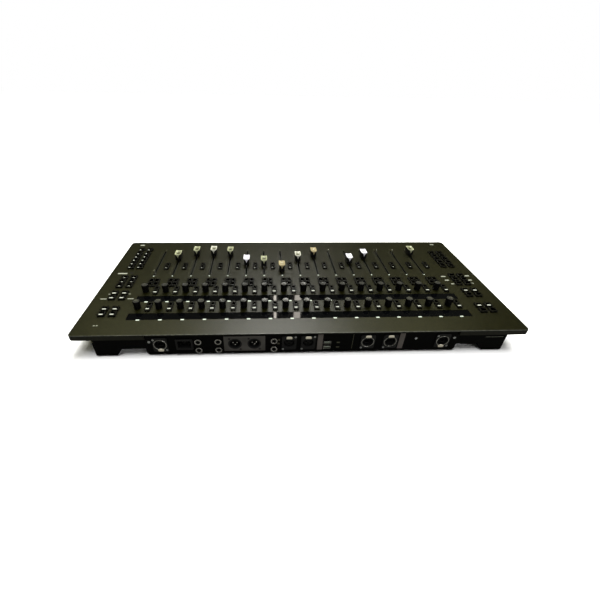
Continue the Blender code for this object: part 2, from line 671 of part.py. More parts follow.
def fader_rest_y(channel):
    return SLOT_Y + (FADER_REST[channel - 1] - 0.5) * FADER_TRAVEL


def make_faders(cap_finish, lever_finish):
    """What moves on each fader: the lever, and the cap pressed onto it."""
    half, edge = CAP_LENGTH / 2, CAP_WIDTH / 2
    crest, shoulder, dish = CAP_TOP, CAP_TOP - 8 * MM, CAP_TOP - 2.7 * MM
    outline = [
        (-edge, y, z)
        for y, z in (
            (-half, CAP_UNDERSIDE), (-half, shoulder), (-half + 2.5 * MM, crest), (-5 * MM, dish + 0.6 * MM),
            (0, dish), (5 * MM, dish + 0.6 * MM), (half - 2.5 * MM, crest), (half, shoulder),
            (half, CAP_UNDERSIDE),
        )
    ]
    for channel in range(1, CHANNELS + 1):
        place = (strip_x(channel) + CONTROL_OFFSET, fader_rest_y(channel), DECK)
        capped = channel not in CAPLESS
        bm = bmesh.new()
        top = CAP_UNDERSIDE + 1 * MM if capped else LEVER_TOP
        upright(bm, 0, 0, LEVER, -LEVER_REACH, top)
        fader = piece(f"fader_{channel:02d}", bm, cap_finish if capped else lever_finish, place)
        if capped:
            bm = bmesh.new()
            prism(bm, outline, (CAP_WIDTH, 0, 0))
            join(fader, "cap", bm)


# ---------------------------------------------------------------- the assembly
def main():
    for old in list(bpy.data.objects):
        bpy.data.objects.remove(old, do_unlink=True)

    deck_metal = material("deck_metal", (0.075, 0.08, 0.07), 0.5, 0.3)
    case_metal = material("case_metal", (0.02, 0.02, 0.02), 0.5, 0.4)
    key_plastic = material("key_plastic", (0.03, 0.03, 0.032), 0.55)
    knob_plastic = material("knob_plastic", (0.015, 0.015, 0.016), 0.35)
    cap_plastic = material("cap_plastic", (0.75, 0.71, 0.62), 0.4)
    lever_steel = material("lever_steel", (0.55, 0.54, 0.5), 0.3, 1.0)
    display_glass = material("display_glass", (0.01, 0.01, 0.012), 0.08)
    circuit_board = material("circuit_board", (0.02, 0.1, 0.05), 0.6)
    socket_black = material("socket_black", (0.04, 0.04, 0.042), 0.4, 0.5)

    make_top_panel(deck_metal)
    make_base_pan(case_metal)
    make_rear_panel(case_metal)
    make_connector_bank(socket_black)
    make_display_window("display_window_front", WINDOW_FRONT_Y, display_glass)
    make_display_window("display_window_rear", WINDOW_REAR_Y, display_glass)
    make_control_board(circuit_board)
    make_fader_keys(key_plastic)
    make_select_keys(key_plastic)
    make_encoder_keys(key_plastic)
    make_side_keys("left_keys", -1, key_plastic)
    make_side_keys("right_keys", 1, key_plastic)
    make_encoders(knob_plastic)
    make_faders(cap_plastic, lever_steel)


main()
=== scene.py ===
# %% [markdown]
# # A sixteen-channel fader control desk
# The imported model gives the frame: every sub-part at its real size and place. This lesson keeps that
# frame as it is and gives each sub-part the surface that the real one has. Everything is in metres, +Z
# is up, the operator sits at -Y, and the sockets are at +Y.

# %% Load the frame
import json
import math

import bpy
from mathutils import Matrix, Vector

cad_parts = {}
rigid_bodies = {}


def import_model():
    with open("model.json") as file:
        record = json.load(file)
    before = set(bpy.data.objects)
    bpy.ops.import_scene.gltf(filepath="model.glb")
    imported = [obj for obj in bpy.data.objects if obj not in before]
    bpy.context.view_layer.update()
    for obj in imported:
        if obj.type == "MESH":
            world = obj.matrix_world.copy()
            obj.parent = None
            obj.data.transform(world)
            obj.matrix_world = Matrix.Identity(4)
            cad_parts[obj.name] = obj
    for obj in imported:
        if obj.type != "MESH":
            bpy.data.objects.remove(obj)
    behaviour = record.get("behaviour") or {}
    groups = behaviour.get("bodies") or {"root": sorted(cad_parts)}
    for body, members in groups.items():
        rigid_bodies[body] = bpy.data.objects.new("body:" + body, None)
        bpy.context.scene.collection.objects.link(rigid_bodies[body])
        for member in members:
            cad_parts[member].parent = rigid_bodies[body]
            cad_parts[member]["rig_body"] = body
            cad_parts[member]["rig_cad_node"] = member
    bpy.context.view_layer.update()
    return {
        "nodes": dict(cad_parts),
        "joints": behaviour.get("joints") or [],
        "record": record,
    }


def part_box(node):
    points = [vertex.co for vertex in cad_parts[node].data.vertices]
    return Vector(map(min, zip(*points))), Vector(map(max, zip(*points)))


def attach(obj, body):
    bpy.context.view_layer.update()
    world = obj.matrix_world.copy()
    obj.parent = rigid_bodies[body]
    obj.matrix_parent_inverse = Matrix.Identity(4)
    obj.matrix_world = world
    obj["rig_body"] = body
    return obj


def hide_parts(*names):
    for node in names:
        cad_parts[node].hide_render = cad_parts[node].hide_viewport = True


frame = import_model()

MM = 0.001
NODES = frame["nodes"]
CHANNELS = range(1, 17)

# %% [markdown]
# ## Measuring the frame
# A key, a socket or a slot isn't typed in again here. Its place is read from the frame: the flat tops of
# a key mat are its keys, the stated openings are the sockets, and a fader's joint says how far it slides.

# %% Places read from the frame
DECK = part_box("top_panel")[1].z
PANEL_LOW, PANEL_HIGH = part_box("top_panel")
SOCKET_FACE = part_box("connector_bank")[1].y
REAR_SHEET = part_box("rear_panel")[1].y


def flat_tops(node):
    """The middle and the size, in X and Y, of each separate flat top of a node, such as its keys."""
    mesh = NODES[node].data
    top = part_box(node)[1].z
    groups = []
    for face in mesh.polygons:
        corners = [mesh.vertices[i].co for i in face.vertices]
        if min(corner.z for corner in corners) < top - 0.05 * MM:
            continue
        cells = {(round(c.x / (0.01 * MM)), round(c.y / (0.01 * MM))) for c in corners}
        touching = [group for group in groups if group & cells]
        for group in touching:
            groups.remove(group)
            cells |= group
        groups.append(cells)
    tops = []
    for cells in groups:
        xs = [x * 0.01 * MM for x, _ in cells]
        ys = [y * 0.01 * MM for _, y in cells]
        middle = Vector(((min(xs) + max(xs)) / 2, (min(ys) + max(ys)) / 2, top))
        tops.append((middle, (max(xs) - min(xs), max(ys) - min(ys))))
    return sorted(tops, key=lambda item: (round(item[0].x, 4), round(item[0].y, 4)))


def middle_of(node):
    low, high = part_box(node)
    return (low + high) / 2


SOCKETS = {}
for opening in frame["record"]["physics"]["openings"]:
    low, high = opening["box_m"]
    SOCKETS[opening["name"]] = ((low[0] + high[0]) / 2, (low[2] + high[2]) / 2)
SLIDES = {joint["child"]: joint["range_m"] for joint in frame["joints"] if joint["type"] == "slide"}
print("sockets", len(SOCKETS), "deck", round(DECK, 4))


def slot_of(channel):
    """The X of a fader's slot, and the lowest and highest Y that the lever's middle reaches."""
    node = f"fader_{channel:02d}"
    place = middle_of(node)
    low, high = SLIDES[node]
    return place.x, place.y + low, place.y + high


# %% [markdown]
# ## Tools for the bench
# Each tool does one thing that a modeller does by hand: add a block, pick faces by where they are, apply
# a modifier, copy a finished shape to many places, and hand the piece over to the frame.

# %% Selecting and applying
def deselect():
    for item in bpy.context.selected_objects:
        item.select_set(False)


def activate(obj):
    deselect()
    obj.select_set(True)
    bpy.context.view_layer.objects.active = obj


def apply_modifiers(obj):
    activate(obj)
    for modifier in list(obj.modifiers):
        bpy.ops.object.modifier_apply(modifier=modifier.name)


def bake_place(obj):
    """Moves an object's place, turn and scale into its mesh."""
    activate(obj)
    bpy.ops.object.transform_apply(location=True, rotation=True, scale=True)


def edit_faces(obj, test):
    """Goes into edit mode with only the faces selected that the test takes."""
    activate(obj)
    bpy.ops.object.mode_set(mode="EDIT")
    bpy.ops.mesh.select_all(action="DESELECT")
    bpy.ops.mesh.select_mode(type="FACE")
    bpy.ops.object.mode_set(mode="OBJECT")
    for face in obj.data.polygons:
        face.select = test(face)
    bpy.ops.object.mode_set(mode="EDIT")


def edit_edges(obj, test):
    """Goes into edit mode with only the edges selected whose two ends the test takes."""
    activate(obj)
    bpy.ops.object.mode_set(mode="EDIT")
    bpy.ops.mesh.select_all(action="DESELECT")
    bpy.ops.mesh.select_mode(type="EDGE")
    bpy.ops.object.mode_set(mode="OBJECT")
    points = obj.data.vertices
    for edge in obj.data.edges:
        edge.select = test(*(points[i].co for i in edge.vertices))
    bpy.ops.object.mode_set(mode="EDIT")


def leave_edit():
    bpy.ops.object.mode_set(mode="OBJECT")


def raise_by(height):
    """Moves what is selected in edit mode up, or down for a negative height."""
    bpy.ops.transform.translate(value=(0.0, 0.0, height))


def inset(width, single=False):
    """Insets the selected faces, each on its own if single, and leaves the inner ones selected."""
    bpy.ops.mesh.inset(thickness=width, depth=0.0, use_individual=single)


def bevel_selected(width, segments):
    bpy.ops.mesh.bevel(offset=width, segments=segments, affect="EDGES")


# %% Adding shapes
def block(name, low, high):
    """A box between two corners, with its place in its mesh."""
    deselect()
    size = [b - a for a, b in zip(low, high)]
    middle = [(a + b) / 2 for a, b in zip(low, high)]
    bpy.ops.mesh.primitive_cube_add(size=1.0, location=middle)
    made = bpy.context.active_object
    made.scale = size
    made.name = name
    bake_place(made)
    return made


def rod(name, middle, radius, depth, sides=32, along="Z"):
    deselect()
    turn = {"Z": (0, 0, 0), "Y": (math.pi / 2, 0, 0)}[along]
    bpy.ops.mesh.primitive_cylinder_add(
        vertices=sides, radius=radius, depth=depth, location=middle, rotation=turn
    )
    made = bpy.context.active_object
    made.name = name
    bake_place(made)
    return made


def ring(name, middle, radius, thickness, along="Y", sides=40):
    deselect()
    turn = {"Z": (0, 0, 0), "Y": (math.pi / 2, 0, 0)}[along]
    bpy.ops.mesh.primitive_torus_add(
        major_segments=sides, minor_segments=10, major_radius=radius, minor_radius=thickness,
        location=middle, rotation=turn,
    )
    made = bpy.context.active_object
    made.name = name
    bake_place(made)
    return made


def round_edges(obj, width, segments=2, angle=35):
    modifier = obj.modifiers.new("round", "BEVEL")
    modifier.width = width
    modifier.segments = segments
    modifier.limit_method = "ANGLE"
    modifier.angle_limit = math.radians(angle)
    apply_modifiers(obj)
    return obj


def boolean(obj, tool, operation):
    modifier = obj.modifiers.new(operation, "BOOLEAN")
    modifier.operation = operation
    modifier.object = tool
    modifier.solver = "EXACT"
    apply_modifiers(obj)
    bpy.data.objects.remove(tool, do_unlink=True)
    return obj


def smooth(obj, angle=35):
    activate(obj)
    bpy.ops.object.shade_smooth_by_angle(angle=math.radians(angle))
    return obj


def paint(obj, *finishes):
    obj.data.materials.clear()
    for finish in finishes:
        obj.data.materials.append(finish)
    return obj


def join(name, parts):
    """Joins finished parts into one object; each keeps its materials."""
    deselect()
    for part in parts:
        part.select_set(True)
    bpy.context.view_layer.objects.active = parts[0]
    if len(parts) > 1:
        bpy.ops.object.join()
    made = bpy.context.active_object
    made.name = name
    made.data.name = name
    return made


def copies(template, places, keep=False):
    """Copies of a shape modelled at the origin, each with its own mesh, moved to the places."""
    made = []
    for place in places:
        twin = template.copy()
        twin.data = template.data.copy()
        bpy.context.scene.collection.objects.link(twin)
        twin.location = place
        made.append(twin)
    if not keep:
        bpy.data.objects.remove(template, do_unlink=True)
    return made


def hand_over(obj, body, slot, *nodes):
    """The finished piece rides on a body and stands for CAD nodes. The slot argument is not used."""
    bake_place(obj)
    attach(obj, body)
    if nodes:
        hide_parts(*nodes)
    deselect()
    print(obj.name, "faces", len(obj.data.polygons))
    return obj


# %% [markdown]
# ## Finishes
# A shader is easier to read as arithmetic than as a web of nodes. `Value` wraps a socket, so that
# `grain * 0.2 + 0.4` adds the Math nodes, and `Finish` holds the material that the nodes belong to.

# %% Shader maths
class Value:
    """A shader output that takes part in Python arithmetic."""

    def __init__(self, finish, socket):
        self.finish = finish
        self.socket = socket

    def maths(self, operation, first, second):
        return self.finish.node("ShaderNodeMath", {"operation": operation}, {0: first, 1: second})

    def __add__(self, other):
        return self.maths("ADD", self, other)

    __radd__ = __add__

    def __mul__(self, other):
        return self.maths("MULTIPLY", self, other)

    __rmul__ = __mul__


class Finish:
    """A material whose nodes are added by name, with their settings and inputs."""

    def __init__(self, name):
        self.material = bpy.data.materials.new(name)
        self.material.use_nodes = True
        self.tree = self.material.node_tree
        self.shader = self.tree.nodes["Principled BSDF"]
        self.place = self.node("ShaderNodeTexCoord", output="Object")

    def node(self, kind, settings=None, inputs=None, output=0):
        made = self.tree.nodes.new(kind)
        for name, value in (settings or {}).items():
            setattr(made, name, value)
        for name, value in (inputs or {}).items():
            self.feed(made.inputs[name], value)
        return Value(self, made.outputs[output])

    def feed(self, socket, value):
        if isinstance(value, Value):
            self.tree.links.new(value.socket, socket)
        elif isinstance(value, tuple) and len(value) == 3 and socket.type == "RGBA":
            socket.default_value = (*value, 1.0)
        else:
            socket.default_value = value

    def noise(self, scale, detail=2.0, stretch=None):
        place = self.place
        if stretch:
            place = self.node("ShaderNodeMapping", {}, {"Vector": place, "Scale": stretch})
        inputs = {"Vector": place, "Scale": scale, "Detail": detail}
        return self.node("ShaderNodeTexNoise", {}, inputs, "Fac")

    def range(self, value, low, high, to_low=0.0, to_high=1.0):
        inputs = {"Value": value, 1: low, 2: high, 3: to_low, 4: to_high}
        return self.node("ShaderNodeMapRange", {}, inputs)

    def mix(self, factor, first, second):
        return self.node("ShaderNodeMix", {"data_type": "RGBA"}, {0: factor, 6: first, 7: second}, 2)

    def bump(self, relief, depth):
        inputs = {"Height": relief, "Distance": depth, "Strength": 1.0}
        self.set(Normal=self.node("ShaderNodeBump", {}, inputs, "Normal"))

    def set(self, **sockets):
        for name, value in sockets.items():
            self.feed(self.shader.inputs[name.replace("_", " ")], value)
        return self


# %% [markdown]
# ### Paint on the sheet metal
# The top panel wears a dark olive powder paint. Powder paint dries with a fine orange-peel grain, so the
# bump is a noise of about a millimetre, and hands have polished it a little, so its roughness wanders.

# %% Metal paints
def powder_paint(name, dark, light, roughness, grain_depth, specular):
    finish = Finish(name)
    grain = finish.noise(900.0, 3.0)
    cloud = finish.noise(7.0, 3.0)
    fleck = finish.range(finish.noise(330.0, 3.0), 0.3, 0.7)
    finish.set(
        Base_Color=finish.mix(fleck * 0.8 + cloud * 0.2, dark, light),
        Roughness=finish.range(cloud, 0.3, 0.7, roughness - 0.02, roughness + 0.02),
        Specular_IOR_Level=specular,
    )
    finish.bump(grain, grain_depth)
    return finish.material


PANEL_PAINT = powder_paint(
    "olive_powder_paint", (0.0012, 0.0012, 0.0002), (0.0072, 0.007, 0.001), 0.33, 0.13 * MM, 0.27
)
PANEL_EDGE = powder_paint(
    "worn_panel_edge", (0.002, 0.002, 0.001), (0.012, 0.012, 0.008), 0.3, 0.05 * MM, 0.5
)
# A light finish for the rear top edge of the panel: a painted highlight line along it.
PANEL_RIM_HIGHLIGHT = powder_paint(
    "polished_panel_rim", (0.02, 0.022, 0.018), (0.12, 0.125, 0.11), 0.3, 0.05 * MM, 0.5
)
CASE_PAINT = powder_paint(
    "black_case_paint", (0.0005, 0.0005, 0.0004), (0.0015, 0.0014, 0.0012), 0.5, 0.12 * MM, 0.07
)
CASE_EDGE = powder_paint(
    "worn_case_edge", (0.002, 0.002, 0.002), (0.006, 0.006, 0.006), 0.4, 0.05 * MM, 0.3
)


# %% [markdown]
# ### Moulded plastics and metals
# Moulded plastic has a faint spark-eroded grain; plated parts have fine turning lines. Each gets its own
# colours, so that a cap that has aged differs from one that hasn't.

# %% Plastics
def moulded(name, color, roughness, mottle=0.15, grain=0.03 * MM, specular=0.5, coat=0.0, hollow_shade=None):
    finish = Finish(name)
    cloud = finish.noise(60.0, 4.0)
    fine = finish.noise(2600.0, 1.0)
    dark = tuple(channel * (1 - mottle) for channel in color)
    light = tuple(min(1.0, channel * (1 + mottle)) for channel in color)
    shade = finish.mix(cloud, dark, light)
    # Painted shade: where a saddle is sunk, the colour darkens towards this one, by the depth that each
    # point keeps.
    if hollow_shade:
        depth = finish.node("ShaderNodeAttribute", {"attribute_name": "depth"}, output="Fac")
        shade = finish.mix(finish.range(depth, 0.35, 1.0), shade, hollow_shade)
    finish.set(
        Base_Color=shade,
        Roughness=finish.range(cloud, 0.3, 0.7, roughness * 0.85, roughness * 1.15),
        Specular_IOR_Level=specular,
        Coat_Weight=coat,
    )
    finish.bump(fine, grain)
    return finish.material


def plated(name, color, roughness, stretch=(1.0, 1.0, 1.0)):
    finish = Finish(name)
    lines = finish.noise(1400.0, 2.0, stretch)
    tarnish = finish.noise(90.0, 3.0)
    dull = tuple(channel * 0.72 for channel in color)
    finish.set(
        Base_Color=finish.mix(finish.range(tarnish, 0.4, 0.75), color, dull),
        Metallic=1.0,
        Roughness=finish.range(lines, 0.3, 0.7, roughness * 0.8, roughness * 1.3),
    )
    finish.bump(lines, 0.01 * MM)
    return finish.material


KEY_BLACK = moulded("key_black", (0.0025, 0.0025, 0.002), 0.3, specular=0.3)
# A light finish for blank legends on the side keys and for painted highlights on the paired keys.
KEY_LEGEND_AND_HIGHLIGHT = moulded("key_legend", (0.42, 0.44, 0.38), 0.4, mottle=0.05)
# Painted shade: a darker, duller black for the rim and sides of each key, standing for the dark outline
# that shade and the gap give it.
KEY_RIM_SHADE = moulded("key_skirt", (0.0012, 0.0012, 0.001), 0.5, specular=0.1)
MAT_RUBBER = moulded("key_mat_rubber", (0.004, 0.004, 0.004), 0.7, specular=0.2)
KNOB_SIDE = moulded("knob_side", (0.003, 0.003, 0.003), 0.45, specular=0.25)
KNOB_TOP = moulded("knob_top", (0.02, 0.02, 0.018), 0.22, specular=0.6, coat=0.5)
# The last colour of each cap finish is the painted shade at the bottom of its hollow.
CAP_WHITE = moulded("cap_white", (0.72, 0.71, 0.76), 0.3, mottle=0.04, hollow_shade=(0.42, 0.42, 0.42))
CAP_SHELL = moulded("cap_shell", (0.5, 0.5, 0.42), 0.32, mottle=0.06, hollow_shade=(0.08, 0.08, 0.045))
CAP_CREAM = moulded("cap_cream", (0.34, 0.355, 0.22), 0.34, mottle=0.08, hollow_shade=(0.045, 0.045, 0.02))
CAP_TAN = moulded("cap_tan", (0.32, 0.27, 0.15), 0.36, mottle=0.1, hollow_shade=(0.2, 0.165, 0.09))
CAP_BODY = moulded("cap_body", (0.004, 0.004, 0.004), 0.4, specular=0.3)
SOCKET_BLACK = moulded("socket_black", (0.006, 0.006, 0.006), 0.38, specular=0.3)
SOCKET_CORE = moulded("socket_core", (0.003, 0.003, 0.003), 0.5, specular=0.2)
LABEL_PRINT = moulded("label_print", (0.24, 0.25, 0.2), 0.5, mottle=0.12)
STRIP_PRINT = moulded("strip_print", (0.12, 0.105, 0.095), 0.5, mottle=0.25)
FAINT_PRINT = moulded("faint_print", (0.05, 0.05, 0.03), 0.5, mottle=0.2)
MARK_PRINT = moulded("mark_print", (0.42, 0.47, 0.4), 0.45, mottle=0.08)
OUTPUT_PLATE = moulded("output_plate_paint", (0.06, 0.056, 0.05), 0.5, mottle=0.25)
PAD_RUBBER = moulded("pad_rubber", (0.006, 0.006, 0.006), 0.75, mottle=0.3, grain=0.2 * MM)

# %% Metals, glass and boards
NICKEL = plated("nickel_plate", (0.78, 0.77, 0.73), 0.24)
LATCH_METAL = moulded("latch_enamel", (0.78, 0.73, 0.58), 0.3, mottle=0.1)
CONTACT = plated("contact_metal", (0.9, 0.88, 0.82), 0.2)
LEVER_STEEL = plated("lever_steel", (0.62, 0.62, 0.56), 0.3, (8.0, 8.0, 1.0))
SCREW_ZINC = plated("screw_zinc", (0.7, 0.72, 0.72), 0.3)
SCREW_BLACK = plated("screw_black", (0.03, 0.03, 0.03), 0.35)


def display_glass():
    finish = Finish("display_glass")
    cells = finish.noise(2.0, 1.0)
    dust = finish.range(finish.noise(1800.0, 2.0), 0.62, 0.8)
    finish.set(
        Base_Color=finish.mix(dust * 0.3, (0.0006, 0.0007, 0.001), (0.01, 0.01, 0.011)),
        Roughness=finish.range(cells, 0.3, 0.7, 0.03, 0.07) + dust * 0.2,
    )
    return finish.material


def circuit_board():
    finish = Finish("circuit_board")
    weave = finish.noise(500.0, 2.0)
    track = finish.range(finish.noise(160.0, 0.0, (1.0, 7.0, 1.0)), 0.5, 0.53)
    green = finish.mix(track, (0.0015, 0.002, 0.0015), (0.004, 0.008, 0.004))
    finish.set(Base_Color=green, Roughness=finish.range(weave, 0.3, 0.7, 0.4, 0.6))
    finish.bump(track, 0.03 * MM)
    return finish.material


DISPLAY_GLASS = display_glass()
CIRCUIT_BOARD = circuit_board()

# %% [markdown]
# ## Camera, light and floor
# The desk is seen from behind and above, with a wide lens, so the near edge runs well past the far one.
# The floor is plain and pale. Two soft boxes hang high past the operator's side: the rear margin of the
# panel lies nearest to mirroring them, so it is the lightest part, and the front stays dark. Two narrow
# strips there show in the display windows. The lights on the sockets' side lift the rear panel, the
# plated rings and the near ends of the fader caps.

# %% Camera
VIEW_PLACE = Vector((0.0742, 0.6317, 0.4337))
VIEW_TURN = math.radians(176.86)
VIEW_TILT = math.radians(90 - 34.85)
VIEW_ROLL = math.radians(1.26)
FOCAL_SHARE = 0.5653  # focal length over the sensor's width
VIEW_SHIFT = 0.037  # of the sensor's width

camera_data = bpy.data.cameras.new("view_camera")
camera = bpy.data.objects.new("view_camera", camera_data)
bpy.context.scene.collection.objects.link(camera)
turn = Matrix.Rotation(VIEW_TURN, 4, "Z") @ Matrix.Rotation(VIEW_TILT, 4, "X")
camera.matrix_world = Matrix.Translation(VIEW_PLACE) @ turn @ Matrix.Rotation(VIEW_ROLL, 4, "Z")
camera_data.sensor_width = 36.0
camera_data.lens = FOCAL_SHARE * camera_data.sensor_width
camera_data.shift_x = VIEW_SHIFT
camera_data.clip_start = 0.01
bpy.context.scene.camera = camera
bpy.context.scene.view_settings.view_transform = "Standard"


# %% Lights and floor
def soft_box(name, place, target, size, power, mirrored=True, color=(1.0, 1.0, 1.0)):
    """A soft box that points at the target. One that is not mirrored lights, but shows in no gloss."""
    data = bpy.data.lights.new(name, "AREA")
    data.shape = "RECTANGLE"
    data.size, data.size_y = size
    data.energy = power
    data.color = color
    light = bpy.data.objects.new(name, data)
    bpy.context.scene.collection.objects.link(light)
    light.location = place
    aim = Vector(target) - Vector(place)
    light.rotation_euler = aim.to_track_quat("-Z", "Y").to_euler()
    light.visible_glossy = mirrored


OLIVE_TINT = (1.0, 0.98, 0.55)
WARM_TINT = (1.0, 0.93, 0.82)
soft_box("far_soft_box", (-0.02, -1.25, 1.68), (0.0, 0.1, 0.0), (0.7, 0.6), 22.0)
soft_box("far_wide_box", (0.0, -1.3, 1.75), (0.0, 0.1, 0.0), (3.0, 0.6), 18.0, color=OLIVE_TINT)
soft_box("far_fill", (0.0, -1.1, 1.3), (0.0, 0.0, 0.0), (0.5, 0.4), 20.0, mirrored=False)
soft_box("far_strip_thin", (-0.009, -1.2, 1.0), (0.0, 0.1, 0.0), (0.016, 0.36), 0.17, color=WARM_TINT)
soft_box("far_strip_wide", (-0.159, -1.2, 1.0), (0.0, 0.1, 0.0), (0.044, 0.36), 0.26, color=WARM_TINT)
soft_box("near_soft_box", (-0.7, 1.5, 0.95), (0.0, 0.18, 0.03), (1.2, 0.3), 5.0)
soft_box("near_fill", (0.5, 0.95, 2.0), (0.0, 0.1, 0.03), (1.0, 0.4), 18.0, mirrored=False)

sun_data = bpy.data.lights.new("ceiling_light", "SUN")
sun_data.energy = 3.25
sun_data.angle = math.radians(32)
sun = bpy.data.objects.new("ceiling_light", sun_data)
bpy.context.scene.collection.objects.link(sun)
sun.rotation_euler = (math.radians(3), math.radians(-13), 0.0)
sun.visible_glossy = False

world = bpy.data.worlds.new("studio")
bpy.context.scene.world = world
world.use_nodes = True
room = world.node_tree
paths = room.nodes.new("ShaderNodeLightPath")
bright, dim = room.nodes.new("ShaderNodeBackground"), room.nodes["Background"]
bright.inputs["Color"].default_value = (1.0, 1.0, 1.0, 1.0)
bright.inputs["Strength"].default_value = 1.0
dim.inputs["Color"].default_value = (1.0, 1.0, 0.75, 1.0)
dim.inputs["Strength"].default_value = 0.045
choose = room.nodes.new("ShaderNodeMixShader")
room.links.new(paths.outputs["Is Camera Ray"], choose.inputs["Fac"])
room.links.new(dim.outputs["Background"], choose.inputs[1])
room.links.new(bright.outputs["Background"], choose.inputs[2])
room.links.new(choose.outputs["Shader"], room.nodes["World Output"].inputs["Surface"])

FLOOR_SEEN = (0.96, 0.96, 0.96)
FLOOR_BOUNCE = (0.12, 0.12, 0.11)
deselect()
bpy.ops.mesh.primitive_plane_add(size=12.0, location=(0.0, 0.0, -0.0005))
floor = bpy.context.active_object
floor.name = "studio_floor"
floor_finish = Finish("studio_floor")
seen = floor_finish.node("ShaderNodeLightPath", output="Is Camera Ray")
floor_color = floor_finish.mix(seen, FLOOR_BOUNCE, FLOOR_SEEN)
floor_finish.set(Base_Color=floor_color, Roughness=0.9, Specular_IOR_Level=0.0)
paint(floor, floor_finish.material)


# %% [markdown]
# ## Sheet metal
# The folded panel and the case are the right shape already, but a folded sheet never has a knife edge.
# A copy of the solid is merged, its flat faces are joined up, and a fine bevel takes every edge, with a
# second finish on the bevel where paint has rubbed thin. Normals are weighted by area, so that the soft
# fold doesn't tilt the shading of the big flat faces beside it.

# %% The top panel, the case and the rear panel
MERGE_DISTANCE = 0.005 * MM
FLAT_ANGLE = math.radians(0.5)  # faces that differ by less are one flat face


def sheet_metal(name, node, width, finish, edge_finish, segments=2, fold=None):
    made = NODES[node].copy()
    made.data = NODES[node].data.copy()
    made.parent = None
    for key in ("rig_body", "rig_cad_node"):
        if key in made:
            del made[key]
    bpy.context.scene.collection.objects.link(made)
    made.name = name
    activate(made)
    bpy.ops.object.mode_set(mode="EDIT")
    bpy.ops.mesh.select_mode(type="VERT")
    bpy.ops.mesh.select_all(action="SELECT")
    bpy.ops.mesh.remove_doubles(threshold=MERGE_DISTANCE)
    bpy.ops.mesh.dissolve_limited(angle_limit=FLAT_ANGLE)
    leave_edit()
    paint(made, finish, edge_finish)
    if fold:
        edit_edges(made, fold)
        bpy.ops.mesh.bevel(offset=FOLD_RADIUS, segments=3, affect="EDGES", material=1)
        leave_edit()
    modifier = made.modifiers.new("folded_edges", "BEVEL")
    modifier.width = width
    modifier.segments = segments
    modifier.limit_method = "ANGLE"
    modifier.angle_limit = math.radians(40)
    modifier.material = 1
    apply_modifiers(made)
    smooth(made, 20)
    weighted = made.modifiers.new("flat_faces_stay_flat", "WEIGHTED_NORMAL")
    weighted.weight = 100
    weighted.keep_sharp = True
    apply_modifiers(made)
    return made


FOLD_RADIUS = 1.2 * MM
PANEL_CORNER = 8.2 * MM


def on_fold(a, b):
    """Edges of the top's outline, where the sheet folds down into its lip."""
    inside = [
        PANEL_LOW.x + PANEL_CORNER < c.x < PANEL_HIGH.x - PANEL_CORNER
        and PANEL_LOW.y + PANEL_CORNER < c.y < PANEL_HIGH.y - PANEL_CORNER
        for c in (a, b)
    ]
    return min(a.z, b.z) > DECK - 0.1 * MM and not any(inside)


top_sheet = sheet_metal("top_sheet", "top_panel", 0.25 * MM, PANEL_PAINT, PANEL_EDGE, fold=on_fold)
# The first facet of the fold along the rear edge takes the light finish: a painted highlight line.
top_sheet.data.materials.append(PANEL_RIM_HIGHLIGHT)
for face in top_sheet.data.polygons:
    turned = face.normal.y > 0.2 and 0.75 < face.normal.z < 0.99
    if turned and face.center.y > PANEL_HIGH.y - 2 * FOLD_RADIUS:
        face.material_index = 2
hand_over(top_sheet, "case", "panel_paint", "top_panel")

case_shell = sheet_metal("case_shell", "base_pan", 0.5 * MM, CASE_PAINT, CASE_EDGE)
pad_top = 1.9 * MM
case_shell.data.materials.append(PAD_RUBBER)
for face in case_shell.data.polygons:
    if face.center.z < pad_top:
        face.material_index = 2
hand_over(case_shell, "case", "case_paint", "base_pan")

rear_plate = sheet_metal("rear_plate", "rear_panel", 0.2 * MM, CASE_PAINT, CASE_EDGE, 1)
hand_over(rear_plate, "case", "case_paint", "rear_panel")

# %% [markdown]
# ## Display windows and the board below
# The two windows keep their solids, which are plain glass strips; a fine bevel lets their rims catch the
# light. The board under the panel only shows through slots, so it keeps its solid and gets a finish.

# %% Windows and board
for row in ("front", "rear"):
    node = f"display_window_{row}"
    glass = sheet_metal(f"window_glass_{row}", node, 0.4 * MM, DISPLAY_GLASS, DISPLAY_GLASS)
    hand_over(glass, "case", "display_glass", node)
paint(NODES["control_board"], CIRCUIT_BOARD)


# %% [markdown]
# ## Keys
# A key is a small moulded block: rounded corners, a rim, and a top that is a shallow pillow, so each one
# shows a soft highlight. It is modelled once for each size and copied to the places of the mat.

# %% Model one key
LEGEND_SUNK = 0.1 * MM
LEGEND_SHEET = 0.14 * MM
WEB_EDGE = 1.2 * MM
WEB_TOP, WEB_BOTTOM = 2.4 * MM, 3.2 * MM  # below the top of the panel
KEY_DEPTH = 5.2 * MM
KEY_CORNER = 1.1 * MM
KEY_RIM = 0.9 * MM
KEY_PILLOW = 0.35 * MM
KEY_CROWN = ((0.35, 0.55), (1.0, 0.35), (1.6, 0.1))  # steps inward and up, as shares of rim and pillow
RIM_SHADE_NORMAL = 0.995  # faces that lean more than this, on the rim and the sides, get painted shade: a darker, duller finish for the dark outline round each key


